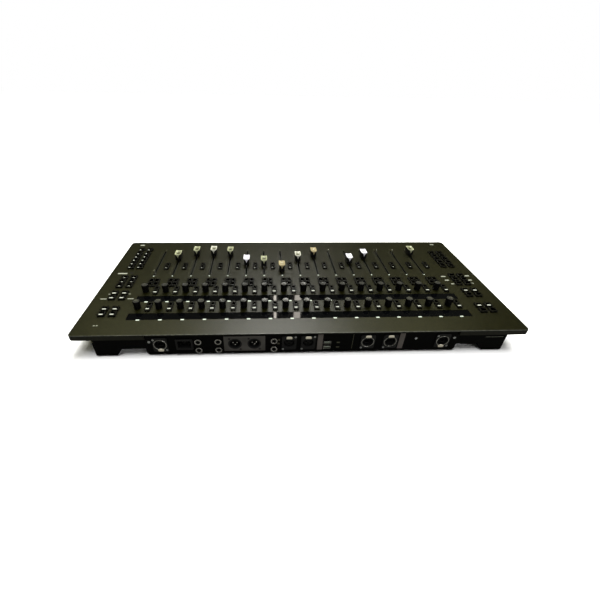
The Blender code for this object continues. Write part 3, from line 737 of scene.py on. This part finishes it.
def model_key(size):
    """A key whose rim is at the origin's height less the pillow, modelled about the middle of its top."""
    half_x, half_y = size[0] / 2, size[1] / 2
    key = block("key", (-half_x, -half_y, -KEY_DEPTH), (half_x, half_y, -KEY_PILLOW))
    edit_edges(key, lambda a, b: abs(a.z - b.z) > KEY_DEPTH / 2)
    bevel_selected(KEY_CORNER, 3)
    leave_edit()
    edit_faces(key, lambda face: face.normal.z > 0.9)
    for width_share, rise_share in KEY_CROWN:
        inset(KEY_RIM * width_share)
        raise_by(KEY_PILLOW * rise_share)
    leave_edit()
    smooth(key, 60)
    paint(key, KEY_BLACK, KEY_RIM_SHADE)
    # The leaning faces of the rim and the sides take the painted shade finish.
    for face in key.data.polygons:
        face.material_index = int(face.normal.z < RIM_SHADE_NORMAL)
    return key


def mat_web(tops):
    """The part of the rubber mat that shows between a key and the edge of its opening."""
    parts = []
    for middle, size in tops:
        half_x, half_y = size[0] / 2 + WEB_EDGE, size[1] / 2 + WEB_EDGE
        low = (middle.x - half_x, middle.y - half_y, DECK - WEB_BOTTOM)
        high = (middle.x + half_x, middle.y + half_y, DECK - WEB_TOP)
        parts.append(paint(block("web", low, high), MAT_RUBBER))
    return parts


def key_set(node, name, light_plates=()):
    """All keys of a mat as one piece, with small light plates on some of them: blank legends on the side
    keys, painted highlights on the paired keys.
    """
    tops = flat_tops(node)
    key = model_key(tops[0][1])
    parts = copies(key, [middle for middle, _ in tops])
    parts += mat_web(tops)
    # On the side keys these plates are blank legends; on the paired keys they are painted highlights.
    for x, y, width, depth in light_plates:
        low = (x - width / 2, y - depth / 2, tops[0][0].z - LEGEND_SUNK)
        high = (x + width / 2, y + depth / 2, low[2] + LEGEND_SHEET)
        parts.append(paint(block("legend", low, high), KEY_LEGEND_AND_HIGHLIGHT))
    hand_over(join(name, parts), node, "key_plastic", node)
    return tops


# %% Every mat
# On the key of each encoder pair nearer the rear edge, a light plate paints the highlight on its pillow
# top.
pair_key_highlights = [
    (middle.x + 0.2 * MM, middle.y + 1.2 * MM, 6.0 * MM, 2.4 * MM)
    for middle, _ in flat_tops("encoder_keys")[1::2]
]
key_set("encoder_keys", "encoder_key_caps", pair_key_highlights)
key_set("select_keys", "select_key_caps")
# On the key of each fader pair nearer the rear edge, a small light plate paints a highlight.
fader_key_highlights = [
    (middle.x + 1.2 * MM, middle.y + 3.0 * MM, 2.2 * MM, 1.2 * MM)
    for middle, _ in flat_tops("fader_keys")[1::2]
]
key_set("fader_keys", "fader_key_caps", fader_key_highlights)

# %% [markdown]
# The side keys carry light legends. They are left blank here: a plain bar for a printed word, and a dot
# for a lamp in the key's corner.

# %% Side keys
def side_legends(node, outer_sign):
    """Bars on the keys nearest the sockets, and corner dots on the long block by the operator."""
    light_plates = []
    for middle, _ in flat_tops(node):
        if middle.y > 40 * MM:
            light_plates.append((middle.x, middle.y + 2.6 * MM, 7.0 * MM, 2.6 * MM))
        elif middle.y < -40 * MM and outer_sign > 0:
            light_plates.append((middle.x + 2.6 * MM, middle.y + 3.4 * MM, 3.2 * MM, 2.2 * MM))
        elif middle.y > -40 * MM and outer_sign > 0:
            light_plates.append((middle.x - 1.0 * MM, middle.y + 3.6 * MM, 3.6 * MM, 1.2 * MM))
    return light_plates


key_set("right_keys", "right_key_caps", side_legends("right_keys", 1))
key_set("left_keys", "left_key_caps", side_legends("left_keys", -1)[::2])

# %% [markdown]
# ## Encoder knobs
# Each knob is a turned cap with fine flutes for the fingertips and a glossy, slightly dished top. It is a
# cylinder: every other side face is pushed in for the flutes, and the top is inset, sunk and rounded.

# %% Model one knob
KNOB_SIDES = 48
KNOB_CLEAR = 1.0 * MM  # from the panel to the underside of the knob
FLUTE_EDGE, FLUTE_DEPTH = 0.12 * MM, 0.22 * MM
KNOB_STEPS = (0.25 * MM, 0.9 * MM, 0.3 * MM)  # rings of the top, from its edge to the dish
KNOB_DISH = 0.35 * MM
DISH_SLOPE = 2.0 * MM
KNOB_BEVEL = 0.45 * MM
GLOSS_BAND = 0.9 * MM  # how far down from the top the glossy finish reaches
SHAFT_RADIUS, SHAFT_LENGTH = 3.0 * MM, 5.6 * MM


def model_knob(node):
    low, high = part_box(node)
    radius, height = (high.x - low.x) / 2, high.z - DECK - KNOB_CLEAR
    knob = rod("knob", (0, 0, -height / 2), radius, height, KNOB_SIDES)
    edit_faces(knob, lambda face: abs(face.normal.z) < 0.1 and face.index % 2 == 0)
    inset(FLUTE_EDGE, single=True)
    bpy.ops.transform.shrink_fatten(value=-FLUTE_DEPTH)
    leave_edit()
    edit_faces(knob, lambda face: face.normal.z > 0.9 and face.area > radius * radius)
    for step in KNOB_STEPS:
        inset(step)
    raise_by(-KNOB_DISH)
    inset(DISH_SLOPE)
    raise_by(-KNOB_DISH * 0.4)
    leave_edit()

    def on_rim(point):
        return point.z > -0.01 * MM and abs(point.xy.length - radius) < 0.02 * MM

    edit_edges(knob, lambda a, b: on_rim(a) and on_rim(b))
    bevel_selected(KNOB_BEVEL, 3)
    leave_edit()
    paint(knob, KNOB_SIDE, KNOB_TOP)
    for face in knob.data.polygons:
        if face.center.z > -GLOSS_BAND:
            face.material_index = 1
    shaft_middle = -height - SHAFT_LENGTH / 2 + 0.2 * MM
    shaft = rod("shaft", (0, 0, shaft_middle), SHAFT_RADIUS, SHAFT_LENGTH, 20)
    paint(shaft, LEVER_STEEL)
    smooth(knob, 40)
    smooth(shaft, 40)
    return join("knob", [knob, shaft]), high.z


knob_model, knob_top = model_knob("encoder_front_01")
for row in ("front", "rear"):
    for channel in CHANNELS:
        node = f"encoder_{row}_{channel:02d}"
        place = middle_of(node)
        twin = copies(knob_model, [(place.x, place.y, knob_top)], keep=True)[0]
        twin.name = f"knob_{row}_{channel:02d}"
        hand_over(twin, node, "knob_plastic", node)
bpy.data.objects.remove(knob_model, do_unlink=True)

# %% [markdown]
# ## Fader caps
# A cap is two mouldings: a black body that grips the lever, and a light saddle over it. The saddle is a
# grid bent over the body: sunk in the middle for the finger, with a rim all round and a tongue at each
# end that narrows as it comes down the slope. Each point keeps how deep it lies, and the finish darkens
# by that: painted shade in the hollow. Of the sixteen levers, four have lost their caps.

# %% Model one cap
SADDLE_SHARE = 0.62  # of the saddle's grid that is its top
SADDLE_TOP = 0.86  # of the cap's length that is its top
SADDLE_SLOPE = 0.1  # of the cap's length that a tongue runs outward
SADDLE_DROP = 9.5 * MM  # how far a tongue comes down
SADDLE_SINK = 3.0 * MM  # the hollow for the finger
SADDLE_SHEET = 0.9 * MM
TONGUE_TIP = 0.08  # of the cap's width
BODY_UNDERSIDE = 3.0 * MM
BODY_INSIDE = (0.4 * MM, 1.6 * MM)  # the body within the saddle, at the sides and at the top
STRIPE_HALF = (0.55, 0.35 * MM)  # a share of the cap's half width, and half its depth
CAPLESS = [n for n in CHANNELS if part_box(f"fader_{n:02d}")[1].z < DECK + 12 * MM]


def saddle_point(across, along, half_width, half_length, top):
    """A point of the saddle from its place across and along it, both from -1 to 1, and its depth."""
    reach = abs(along)
    end = math.copysign(1.0, along)
    if reach <= SADDLE_SHARE:
        share = reach / SADDLE_SHARE
        depth = (1 - share ** 4) * (1 - across ** 4)
        y = end * share * half_length * SADDLE_TOP
        return Vector((across * half_width, y, top - SADDLE_SINK * depth)), depth
    share = (reach - SADDLE_SHARE) / (1 - SADDLE_SHARE)
    y = end * half_length * (SADDLE_TOP + SADDLE_SLOPE * share ** 0.9)
    width = half_width * (TONGUE_TIP + (1 - TONGUE_TIP) * (1 - share) ** 1.9)
    return Vector((across * width, y, top - SADDLE_DROP * share)), 0.0


def model_cap(node, shell):
    low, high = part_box(node)
    half_x, half_y, top = (high.x - low.x) / 2, (high.y - low.y) / 2, high.z - DECK
    body_x, body_top = half_x - BODY_INSIDE[0], top - BODY_INSIDE[1]
    body = block("body", (-body_x, -half_y, BODY_UNDERSIDE), (body_x, half_y, body_top))
    edit_faces(body, lambda face: face.normal.z > 0.9)
    bpy.ops.transform.resize(value=(0.96, SADDLE_TOP - 0.02, 1.0), center_override=(0, 0, top))
    inset(0.6 * MM)
    raise_by(-SADDLE_SINK)
    leave_edit()
    paint(body, CAP_BODY)
    round_edges(body, 0.5 * MM, 3, 25)
    smooth(body, 60)

    deselect()
    bpy.ops.mesh.primitive_grid_add(x_subdivisions=10, y_subdivisions=24, size=2.0)
    saddle = bpy.context.active_object
    saddle.name = "saddle"
    depths = saddle.data.attributes.new("depth", "FLOAT", "POINT")
    for point in saddle.data.vertices:
        place, depth = saddle_point(point.co.x, point.co.y, half_x, half_y, top)
        point.co, depths.data[point.index].value = place, depth
    wall = saddle.modifiers.new("wall", "SOLIDIFY")
    wall.thickness = SADDLE_SHEET
    wall.offset = -1.0
    apply_modifiers(saddle)
    round_edges(saddle, 0.22 * MM, 2, 50)
    paint(saddle, shell)
    smooth(saddle, 60)

    stripe_x, stripe_z = half_x * STRIPE_HALF[0], top - SADDLE_SINK
    low = (-stripe_x, -STRIPE_HALF[1], stripe_z - 0.3 * MM)
    stripe = block("stripe", low, (stripe_x, STRIPE_HALF[1], stripe_z + 0.15 * MM))
    paint(stripe, CAP_BODY)
    return [body, saddle, stripe]


LEVER_HALF = (0.6 * MM, 4.0 * MM)
LEVER_REACH = 9.0 * MM  # below the top of the panel
BARE_LEVER_TOP, CAPPED_LEVER_TOP = 9.0 * MM, 6.0 * MM


def model_lever(top):
    """The steel tang: a thin blade with a rounded head, down into the track."""
    half_x, half_y = LEVER_HALF
    lever = block("lever", (-half_x, -half_y, -LEVER_REACH), (half_x, half_y, top))
    edit_edges(lever, lambda a, b: a.z > 0 and b.z > 0 and abs(a.y - b.y) < 0.1 * MM)
    bevel_selected(1.8 * MM, 4)
    leave_edit()
    paint(lever, LEVER_STEEL)
    round_edges(lever, 0.15 * MM, 2, 40)
    return smooth(lever, 50)


# %% Put caps and levers on the channels
CAP_SHELLS = {
    4: CAP_WHITE, 5: CAP_WHITE, 11: CAP_WHITE, 8: CAP_SHELL, 13: CAP_SHELL, 7: CAP_TAN, 9: CAP_TAN,
}
for channel in CHANNELS:
    node = f"fader_{channel:02d}"
    place = middle_of(node)
    if channel in CAPLESS:
        name, slot = f"fader_tang_{channel:02d}", "lever_steel"
        parts = [model_lever(BARE_LEVER_TOP)]
    else:
        name, slot = f"fader_cap_{channel:02d}", "cap_plastic"
        parts = model_cap(node, CAP_SHELLS.get(channel, CAP_CREAM)) + [model_lever(CAPPED_LEVER_TOP)]
    fader = join(name, parts)
    fader.location = (place.x, place.y, DECK)
    hand_over(fader, node, slot, node)
print("bare levers", CAPLESS)

# %% [markdown]
# ## Print on the panel
# Index marks, scale ticks and label areas are screen print. A screen print has a real thickness, so each
# is a plate a few hundredths of a millimetre proud of the paint, with no lettering.

# %% Printed marks
PRINT = 0.06 * MM


def plates(name, areas, finish, body="case", slot="panel_paint"):
    """Thin printed rectangles on the panel: each area is (x, y, width, depth)."""
    parts = []
    for x, y, width, depth in areas:
        low = (x - width / 2, y - depth / 2, DECK - 0.05 * MM)
        parts.append(block("plate", low, (x + width / 2, y + depth / 2, DECK + PRINT)))
    made = join(name, parts)
    paint(made, finish)
    return hand_over(made, body, slot)


window_boxes = [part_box("display_window_front"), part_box("display_window_rear")]
strip_middles = [middle_of(f"fader_{n:02d}").x - 10 * MM for n in CHANNELS]
INDEX_MARK = (6.2 * MM, 3.0 * MM)
index_marks = [(x, high.y + 0.6 * MM, *INDEX_MARK) for _, high in window_boxes for x in strip_middles]
plates("index_marks", index_marks, MARK_PRINT)

SLOT_HALF = 1.6 * MM
SLOT_BORDER = 1.1 * MM
TICK_STEPS = 20
slot_dots, ticks, slot_borders = [], [], []
for channel in CHANNELS:
    x, low_y, high_y = slot_of(channel)
    slot_dots.append((x, high_y + 9.8 * MM, 2.6 * MM, 2.6 * MM))
    ticks.append((x, low_y - 15.0 * MM, 2.4 * MM, 2.4 * MM))
    for side in (-1, 1):
        edge = x + side * (SLOT_HALF + SLOT_BORDER / 2 + 0.1 * MM)
        slot_borders.append((edge, (low_y + high_y) / 2, SLOT_BORDER, high_y - low_y + 12 * MM))
    for step in range(TICK_STEPS + 1):
        y = low_y + (high_y - low_y) * step / TICK_STEPS
        length = 3.0 * MM if step % 5 == 0 else 1.6 * MM
        ticks.append((x + 7.4 * MM, y, length, 0.7 * MM))
plates("slot_dots", slot_dots, MARK_PRINT)
plates("slot_borders", slot_borders, CAP_BODY)
plates("scale_ticks", ticks, FAINT_PRINT)

# %% Label areas beside the side keys
REAR_Y = PANEL_HIGH.y
# Each is X from the middle, distance from the rear edge, width and depth, in millimetres.
RIGHT_LABELS = (
    (376, 350, 10, 5), (380, 209, 20, 4.5), (385, 111, 12, 2.2), (333, 111, 12, 2.2),
    (379, 128, 5, 2), (340, 128, 4, 2), (371, 28, 3, 2), (366, 28, 3, 2),
)
LEFT_LABELS = (
    (330, 188, 10, 4), (331, 172, 9, 4), (337, 157, 6, 3), (384, 190, 12, 4),
    (383, 172, 8, 4), (382, 159, 5, 3), (372, 350, 9, 3.5),
)
label_areas = [(x * MM, REAR_Y - y * MM, w * MM, d * MM) for x, y, w, d in RIGHT_LABELS]
label_areas += [(-x * MM, REAR_Y - y * MM, w * MM, d * MM) for x, y, w, d in LEFT_LABELS]
plates("panel_labels", label_areas, LABEL_PRINT)
lamps = [(361 * MM, REAR_Y - 350 * MM, 5 * MM, 5 * MM), (361.5 * MM, REAR_Y - 211.5 * MM, 7 * MM, 6 * MM)]
plates("panel_lamps", lamps, CAP_BODY)


# %% [markdown]
# ## Sockets
# The round sockets share one die-cast shell: a flange with rounded corners, a bore, and a floor at its
# bottom. What sits in and on the shell differs: pins, receptacle holes, a steel ring, a latch.

# %% The shell of a round socket
FLANGE_X, FLANGE_Z = 13.0 * MM, 15.5 * MM
FLANGE_SHEET = 2.0 * MM
FLANGE_CORNER = 3.2 * MM
BORE = 9.5 * MM
BORE_DEPTH = 12.6 * MM
SOCKET_RADIUS, SOCKET_LENGTH = 11.2 * MM, 15.0 * MM
SCREW_RADIUS, SCREW_HEIGHT = 1.9 * MM, 1.0 * MM
CROSS_HALF = 0.22 * MM  # half the width of the slots in a screw's head
LATCH_HALF = 5.2 * MM
LATCH_REACH = (9.4 * MM, 15.0 * MM)  # inner and outer end, from the socket's middle
LATCH_FACES = (-1.5 * MM, 0.55 * MM)


def socket_shell(finish):
    """A shell about the middle of its flange's outer face, facing +Y."""
    flange = block("shell", (-FLANGE_X, -FLANGE_SHEET, -FLANGE_Z), (FLANGE_X, 0, FLANGE_Z))
    edit_edges(flange, lambda a, b: abs(a.y - b.y) > FLANGE_SHEET / 2)
    bevel_selected(FLANGE_CORNER, 4)
    leave_edit()
    body_middle = (0, -FLANGE_SHEET / 2 - SOCKET_LENGTH / 2, 0)
    body = rod("body", body_middle, SOCKET_RADIUS, SOCKET_LENGTH, 40, "Y")
    boolean(flange, body, "UNION")
    bore = rod("bore", (0, 0, 0), BORE, 2 * BORE_DEPTH, 40, "Y")
    boolean(flange, bore, "DIFFERENCE")
    round_edges(flange, 0.35 * MM, 2, 50)
    paint(flange, finish)
    return smooth(flange, 40)


def screw(middle, radius=SCREW_RADIUS, finish=SCREW_ZINC):
    """A countersunk head with a cross slot, facing +Y."""
    x, y, z = middle
    head = rod("screw", (x, y - 0.2 * MM, z), radius, SCREW_HEIGHT, 20, "Y")
    arm = radius * 0.62
    for half_x, half_z in ((arm, CROSS_HALF), (CROSS_HALF, arm)):
        low = (x - half_x, y - 0.25 * MM, z - half_z)
        high = (x + half_x, y + SCREW_HEIGHT, z + half_z)
        boolean(head, block("slot", low, high), "DIFFERENCE")
    paint(head, finish)
    return smooth(head, 40)


def at(parts, x, y, z):
    """Moves parts that were modelled about the origin to their place."""
    for part in parts:
        part.location = (x, y, z)
        bake_place(part)
    return parts


def latch(bottom=False):
    """The thumb latch on the rim of the bore, a rounded tab."""
    inner, outer = [-reach if bottom else reach for reach in LATCH_REACH]
    low = (-LATCH_HALF, LATCH_FACES[0], min(inner, outer))
    tab = block("latch", low, (LATCH_HALF, LATCH_FACES[1], max(inner, outer)))
    edit_edges(tab, lambda a, b: abs(a.y - b.y) > 1.0 * MM and abs(a.z - outer) < 0.1 * MM)
    bevel_selected(LATCH_HALF / 2, 4)
    leave_edit()
    paint(tab, LATCH_METAL)
    round_edges(tab, 0.3 * MM, 2, 40)
    return smooth(tab, 45)


def contacts(places, length, radius, finish):
    """Round pins that stand on the floor of the bore."""
    parts = []
    for x, z in places:
        pin = rod("pin", (x, -BORE_DEPTH + length / 2, z), radius, length, 14, "Y")
        paint(pin, finish)
        round_edges(pin, radius * 0.35, 2, 50)
        parts.append(smooth(pin, 50))
    return parts


# %% Audio, network and lamp sockets
THREE_PINS = [(3.6 * MM, 1.4 * MM), (-3.6 * MM, 1.4 * MM), (0.0, -3.4 * MM)]
OUTPUT_SCREWS = ((-9.5 * MM, -12.0 * MM), (9.5 * MM, 12.0 * MM))
INPUT_SCREWS = ((-11.0 * MM, 13.6 * MM), (11.0 * MM, -13.6 * MM))
NETWORK_SCREWS = ((10.6 * MM, -13.0 * MM),)
LAMP_SCREWS = ((10.6 * MM, 11.6 * MM), (-10.6 * MM, -11.6 * MM))
SCREW_PROUD = 0.1 * MM
PIN_LENGTH, PIN_RADIUS = 10.5 * MM, 1.25 * MM
CORE_RADIUS, CORE_LENGTH = 7.6 * MM, BORE_DEPTH - 2.6 * MM
COLLAR_RADIUS, COLLAR_THICKNESS = 10.9 * MM, 0.62 * MM


def corner_screws(corners, finish=SCREW_ZINC):
    return [screw((x, SCREW_PROUD, z), finish=finish) for x, z in corners]


def insert(finish, holes):
    """The moulded core of a receptacle, with its contact holes."""
    core = rod("core", (0, -BORE_DEPTH / 2 - 1.2 * MM, 0), CORE_RADIUS, CORE_LENGTH, 32, "Y")
    for x, z in holes:
        boolean(core, rod("hole", (x, -2.5 * MM, z), 1.5 * MM, 9.0 * MM, 16, "Y"), "DIFFERENCE")
    paint(core, finish)
    round_edges(core, 0.3 * MM, 2, 50)
    return smooth(core, 45)


def output_socket():
    pins = contacts(THREE_PINS, PIN_LENGTH, PIN_RADIUS, CONTACT)
    return [socket_shell(SOCKET_BLACK)] + pins + corner_screws(OUTPUT_SCREWS, SCREW_BLACK)


def input_socket():
    parts = [socket_shell(SOCKET_BLACK), insert(SOCKET_CORE, THREE_PINS), latch()]
    return parts + corner_screws(INPUT_SCREWS)


def ringed_socket(bottom):
    """A socket with a steel ring round its bore, and a latch above or below it."""
    shell = socket_shell(SOCKET_BLACK)
    collar = ring("collar", (0, 0, 0), COLLAR_RADIUS, COLLAR_THICKNESS)
    paint(collar, NICKEL)
    smooth(collar, 60)
    core = block("core", (-5.5 * MM, -BORE_DEPTH, -5.0 * MM), (5.5 * MM, -3.0 * MM, 4.6 * MM))
    port = block("port", (-4.4 * MM, -9.0 * MM, -3.4 * MM), (4.4 * MM, 1.0 * MM, 3.2 * MM))
    boolean(core, port, "DIFFERENCE")
    paint(core, SOCKET_CORE)
    round_edges(core, 0.25 * MM, 1, 50)
    return [shell, collar, core, latch(bottom)]


def network_socket():
    return ringed_socket(False) + corner_screws(NETWORK_SCREWS)


def lamp_socket():
    return ringed_socket(True) + corner_screws(LAMP_SCREWS)


def fit_sockets(kinds, face):
    """Makes every stated socket whose name starts as one of the kinds does, at its place."""
    for name, (x, z) in SOCKETS.items():
        make = next((kind for start, kind in kinds.items() if name.startswith(start)), None)
        if make:
            hand_over(join(name, at(make(), x, face, z)), "case", "socket_black")


ROUND_KINDS = {
    "audio_out": output_socket, "audio_in": input_socket, "network": network_socket, "lamp": lamp_socket,
}
fit_sockets(ROUND_KINDS, SOCKET_FACE - LATCH_FACES[1])


# %% [markdown]
# ## Jacks, data ports and the power inlet
# A jack shows its plated nut and the dark hole in its middle. The data ports are folded shells with a
# tongue, and the inlet has three blades in a deep cavity.

# %% Small sockets
NUT_RADIUS, NUT_SHEET = 6.0 * MM, 2.0 * MM


def jack():
    nut = rod("nut", (0, -NUT_SHEET / 2, 0), NUT_RADIUS, NUT_SHEET, 32, "Y")
    boolean(nut, rod("hole", (0, 0, 0), 4.2 * MM, 8.0 * MM, 28, "Y"), "DIFFERENCE")
    round_edges(nut, 0.45 * MM, 3, 50)
    paint(nut, NICKEL)
    barrel = rod("barrel", (0, -6.7 * MM, 0), 4.6 * MM, 12.0 * MM, 28, "Y")
    boolean(barrel, rod("hole", (0, 0, 0), 3.2 * MM, 22.0 * MM, 28, "Y"), "DIFFERENCE")
    paint(barrel, SOCKET_CORE)
    return [smooth(nut, 45), smooth(barrel, 45)]


def data_port():
    shell = block("shell", (-6.5 * MM, -12.0 * MM, -3.3 * MM), (6.5 * MM, 0, 3.3 * MM))
    mouth = block("mouth", (-6.0 * MM, -10.0 * MM, -2.8 * MM), (6.0 * MM, 1.0 * MM, 2.8 * MM))
    boolean(shell, mouth, "DIFFERENCE")
    paint(shell, NICKEL)
    round_edges(shell, 0.2 * MM, 2, 50)
    tongue = block("tongue", (-5.4 * MM, -10.5 * MM, -0.2 * MM), (5.4 * MM, -0.8 * MM, 2.0 * MM))
    paint(tongue, MARK_PRINT)
    round_edges(tongue, 0.25 * MM, 2, 50)
    return [shell, tongue]


INLET_BLADES = ((-7.0 * MM, -1.5 * MM), (7.0 * MM, -1.5 * MM), (0.0, 2.5 * MM))


def power_inlet():
    bezel = block("frame", (-15.0 * MM, -2.0 * MM, -12.0 * MM), (15.0 * MM, 0, 12.0 * MM))
    edit_edges(bezel, lambda a, b: abs(a.y - b.y) > 1.0 * MM)
    bevel_selected(2.0 * MM, 3)
    leave_edit()
    well = block("well", (-13.2 * MM, -14.0 * MM, -10.2 * MM), (13.2 * MM, -1.0 * MM, 10.2 * MM))
    boolean(bezel, well, "UNION")
    cavity = block("cavity", (-11.5 * MM, -12.6 * MM, -8.2 * MM), (11.5 * MM, 1.0 * MM, 8.2 * MM))
    boolean(bezel, cavity, "DIFFERENCE")
    round_edges(bezel, 0.4 * MM, 2, 50)
    paint(bezel, SOCKET_BLACK)
    parts = [smooth(bezel, 45)]
    for x, z in INLET_BLADES:
        low = (x - 1.0 * MM, -12.8 * MM, z - 2.0 * MM)
        blade = block("blade", low, (x + 1.0 * MM, -4.0 * MM, z + 2.0 * MM))
        round_edges(blade, 0.4 * MM, 2, 50)
        parts.append(paint(blade, SCREW_BLACK))
    return parts


fit_sockets({"jack": jack, "usb": data_port, "power": power_inlet}, SOCKET_FACE)

# %% [markdown]
# ## What else is on the rear panel
# A light plate frames the two outputs, two blank label strips stand beside the data ports and the network
# sockets, and screws hold the panel at its ends. The socket board closes the view through the holes.

# %% The output plate
SOCKET_Z = SOCKETS["audio_in_a"][1]
out_xs = sorted(SOCKETS[name][0] for name in ("audio_out_a", "audio_out_b"))
PLATE_BORDER = 19.5 * MM  # from a socket's middle to the end of the plate
plate = block(
    "output_plate",
    (out_xs[0] - PLATE_BORDER, REAR_SHEET + 0.05 * MM, SOCKET_Z - 16.5 * MM),
    (out_xs[1] + PLATE_BORDER, SOCKET_FACE - 0.4 * MM, SOCKET_Z + 17.0 * MM),
)
for x in out_xs:
    hole = rod("hole", (x, SOCKET_FACE, SOCKET_Z), 12.0 * MM, 20.0 * MM, 40, "Y")
    boolean(plate, hole, "DIFFERENCE")
round_edges(plate, 0.3 * MM, 2, 50)
paint(plate, OUTPUT_PLATE)
hand_over(smooth(plate, 40), "case", "case_paint")


# %% Labels, lamps and screws of the rear panel
def rear_plates(name, areas, finish):
    """Thin plates on the rear panel: each area is (x, z, width, height)."""
    parts = []
    for x, z, width, height in areas:
        low = (x - width / 2, REAR_SHEET - 0.1 * MM, z - height / 2)
        parts.append(block("plate", low, (x + width / 2, REAR_SHEET + 0.25 * MM, z + height / 2)))
    made = join(name, parts)
    round_edges(made, 0.1 * MM, 1, 50)
    paint(made, finish)
    return hand_over(made, "case", "case_paint")


rear_plates("rear_labels", [
    (-28 * MM, DECK - 23.5 * MM, 9.5 * MM, 36 * MM), (-176 * MM, DECK - 23.5 * MM, 9.5 * MM, 36 * MM),
], STRIP_PRINT)
# A light line along the rear face of the foot at -X: a painted highlight on its edge.
rear_plates("rail_seam", [(-347.5 * MM, DECK - 17 * MM, 33 * MM, 0.7 * MM)], LABEL_PRINT)
rear_plates("rear_marks", [
    (45.5 * MM, DECK - 17 * MM, 3 * MM, 4 * MM), (46.5 * MM, DECK - 25.5 * MM, 4 * MM, 3.5 * MM),
    (-61 * MM, DECK - 25 * MM, 6 * MM, 3 * MM), (-61 * MM, DECK - 36 * MM, 6 * MM, 2.5 * MM),
    (-87 * MM, DECK - 23 * MM, 1.0 * MM, 34 * MM),
], FAINT_PRINT)
PANEL_SCREW_XS = (-272.5 * MM, -201.5 * MM, 272.5 * MM)
panel_screws = [screw((x, REAR_SHEET + 0.5 * MM, DECK - 17.5 * MM), 2.4 * MM) for x in PANEL_SCREW_XS]
hand_over(join("rear_panel_screws", panel_screws), "case", "case_paint")

# %% The socket board
board_low, board_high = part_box("connector_bank")
board = block(
    "socket_board",
    (board_low.x, board_low.y, board_low.z),
    (board_high.x, board_low.y + 1.6 * MM, board_high.z),
)
round_edges(board, 0.3 * MM, 1, 50)
paint(board, CIRCUIT_BOARD)
hand_over(board, "case", "circuit_board", "connector_bank")

# %% [markdown]
# ## Screws of the case
# The pan is held to the panel by screws under the overhang.

# %% Under the case
LIP_UNDERSIDE = DECK - 9.7 * MM
FLANGE_SCREW_XS = (-388 * MM, 388 * MM)
FLANGE_SCREW_YS = (-150 * MM, -50 * MM, 50 * MM, 150 * MM)


def turned_down(part):
    """Turns a screw that faces +Y so that it faces the floor."""
    activate(part)
    part.matrix_world = Matrix.Rotation(-math.pi / 2, 4, "X") @ part.matrix_world
    bake_place(part)
    return part


under = []
for x in FLANGE_SCREW_XS:
    for y in FLANGE_SCREW_YS:
        part = turned_down(screw((0, 0.3 * MM, 0), 3.0 * MM, SCREW_BLACK))
        under += at([part], x, y, LIP_UNDERSIDE)
hand_over(join("flange_screws", under), "case", "case_paint")
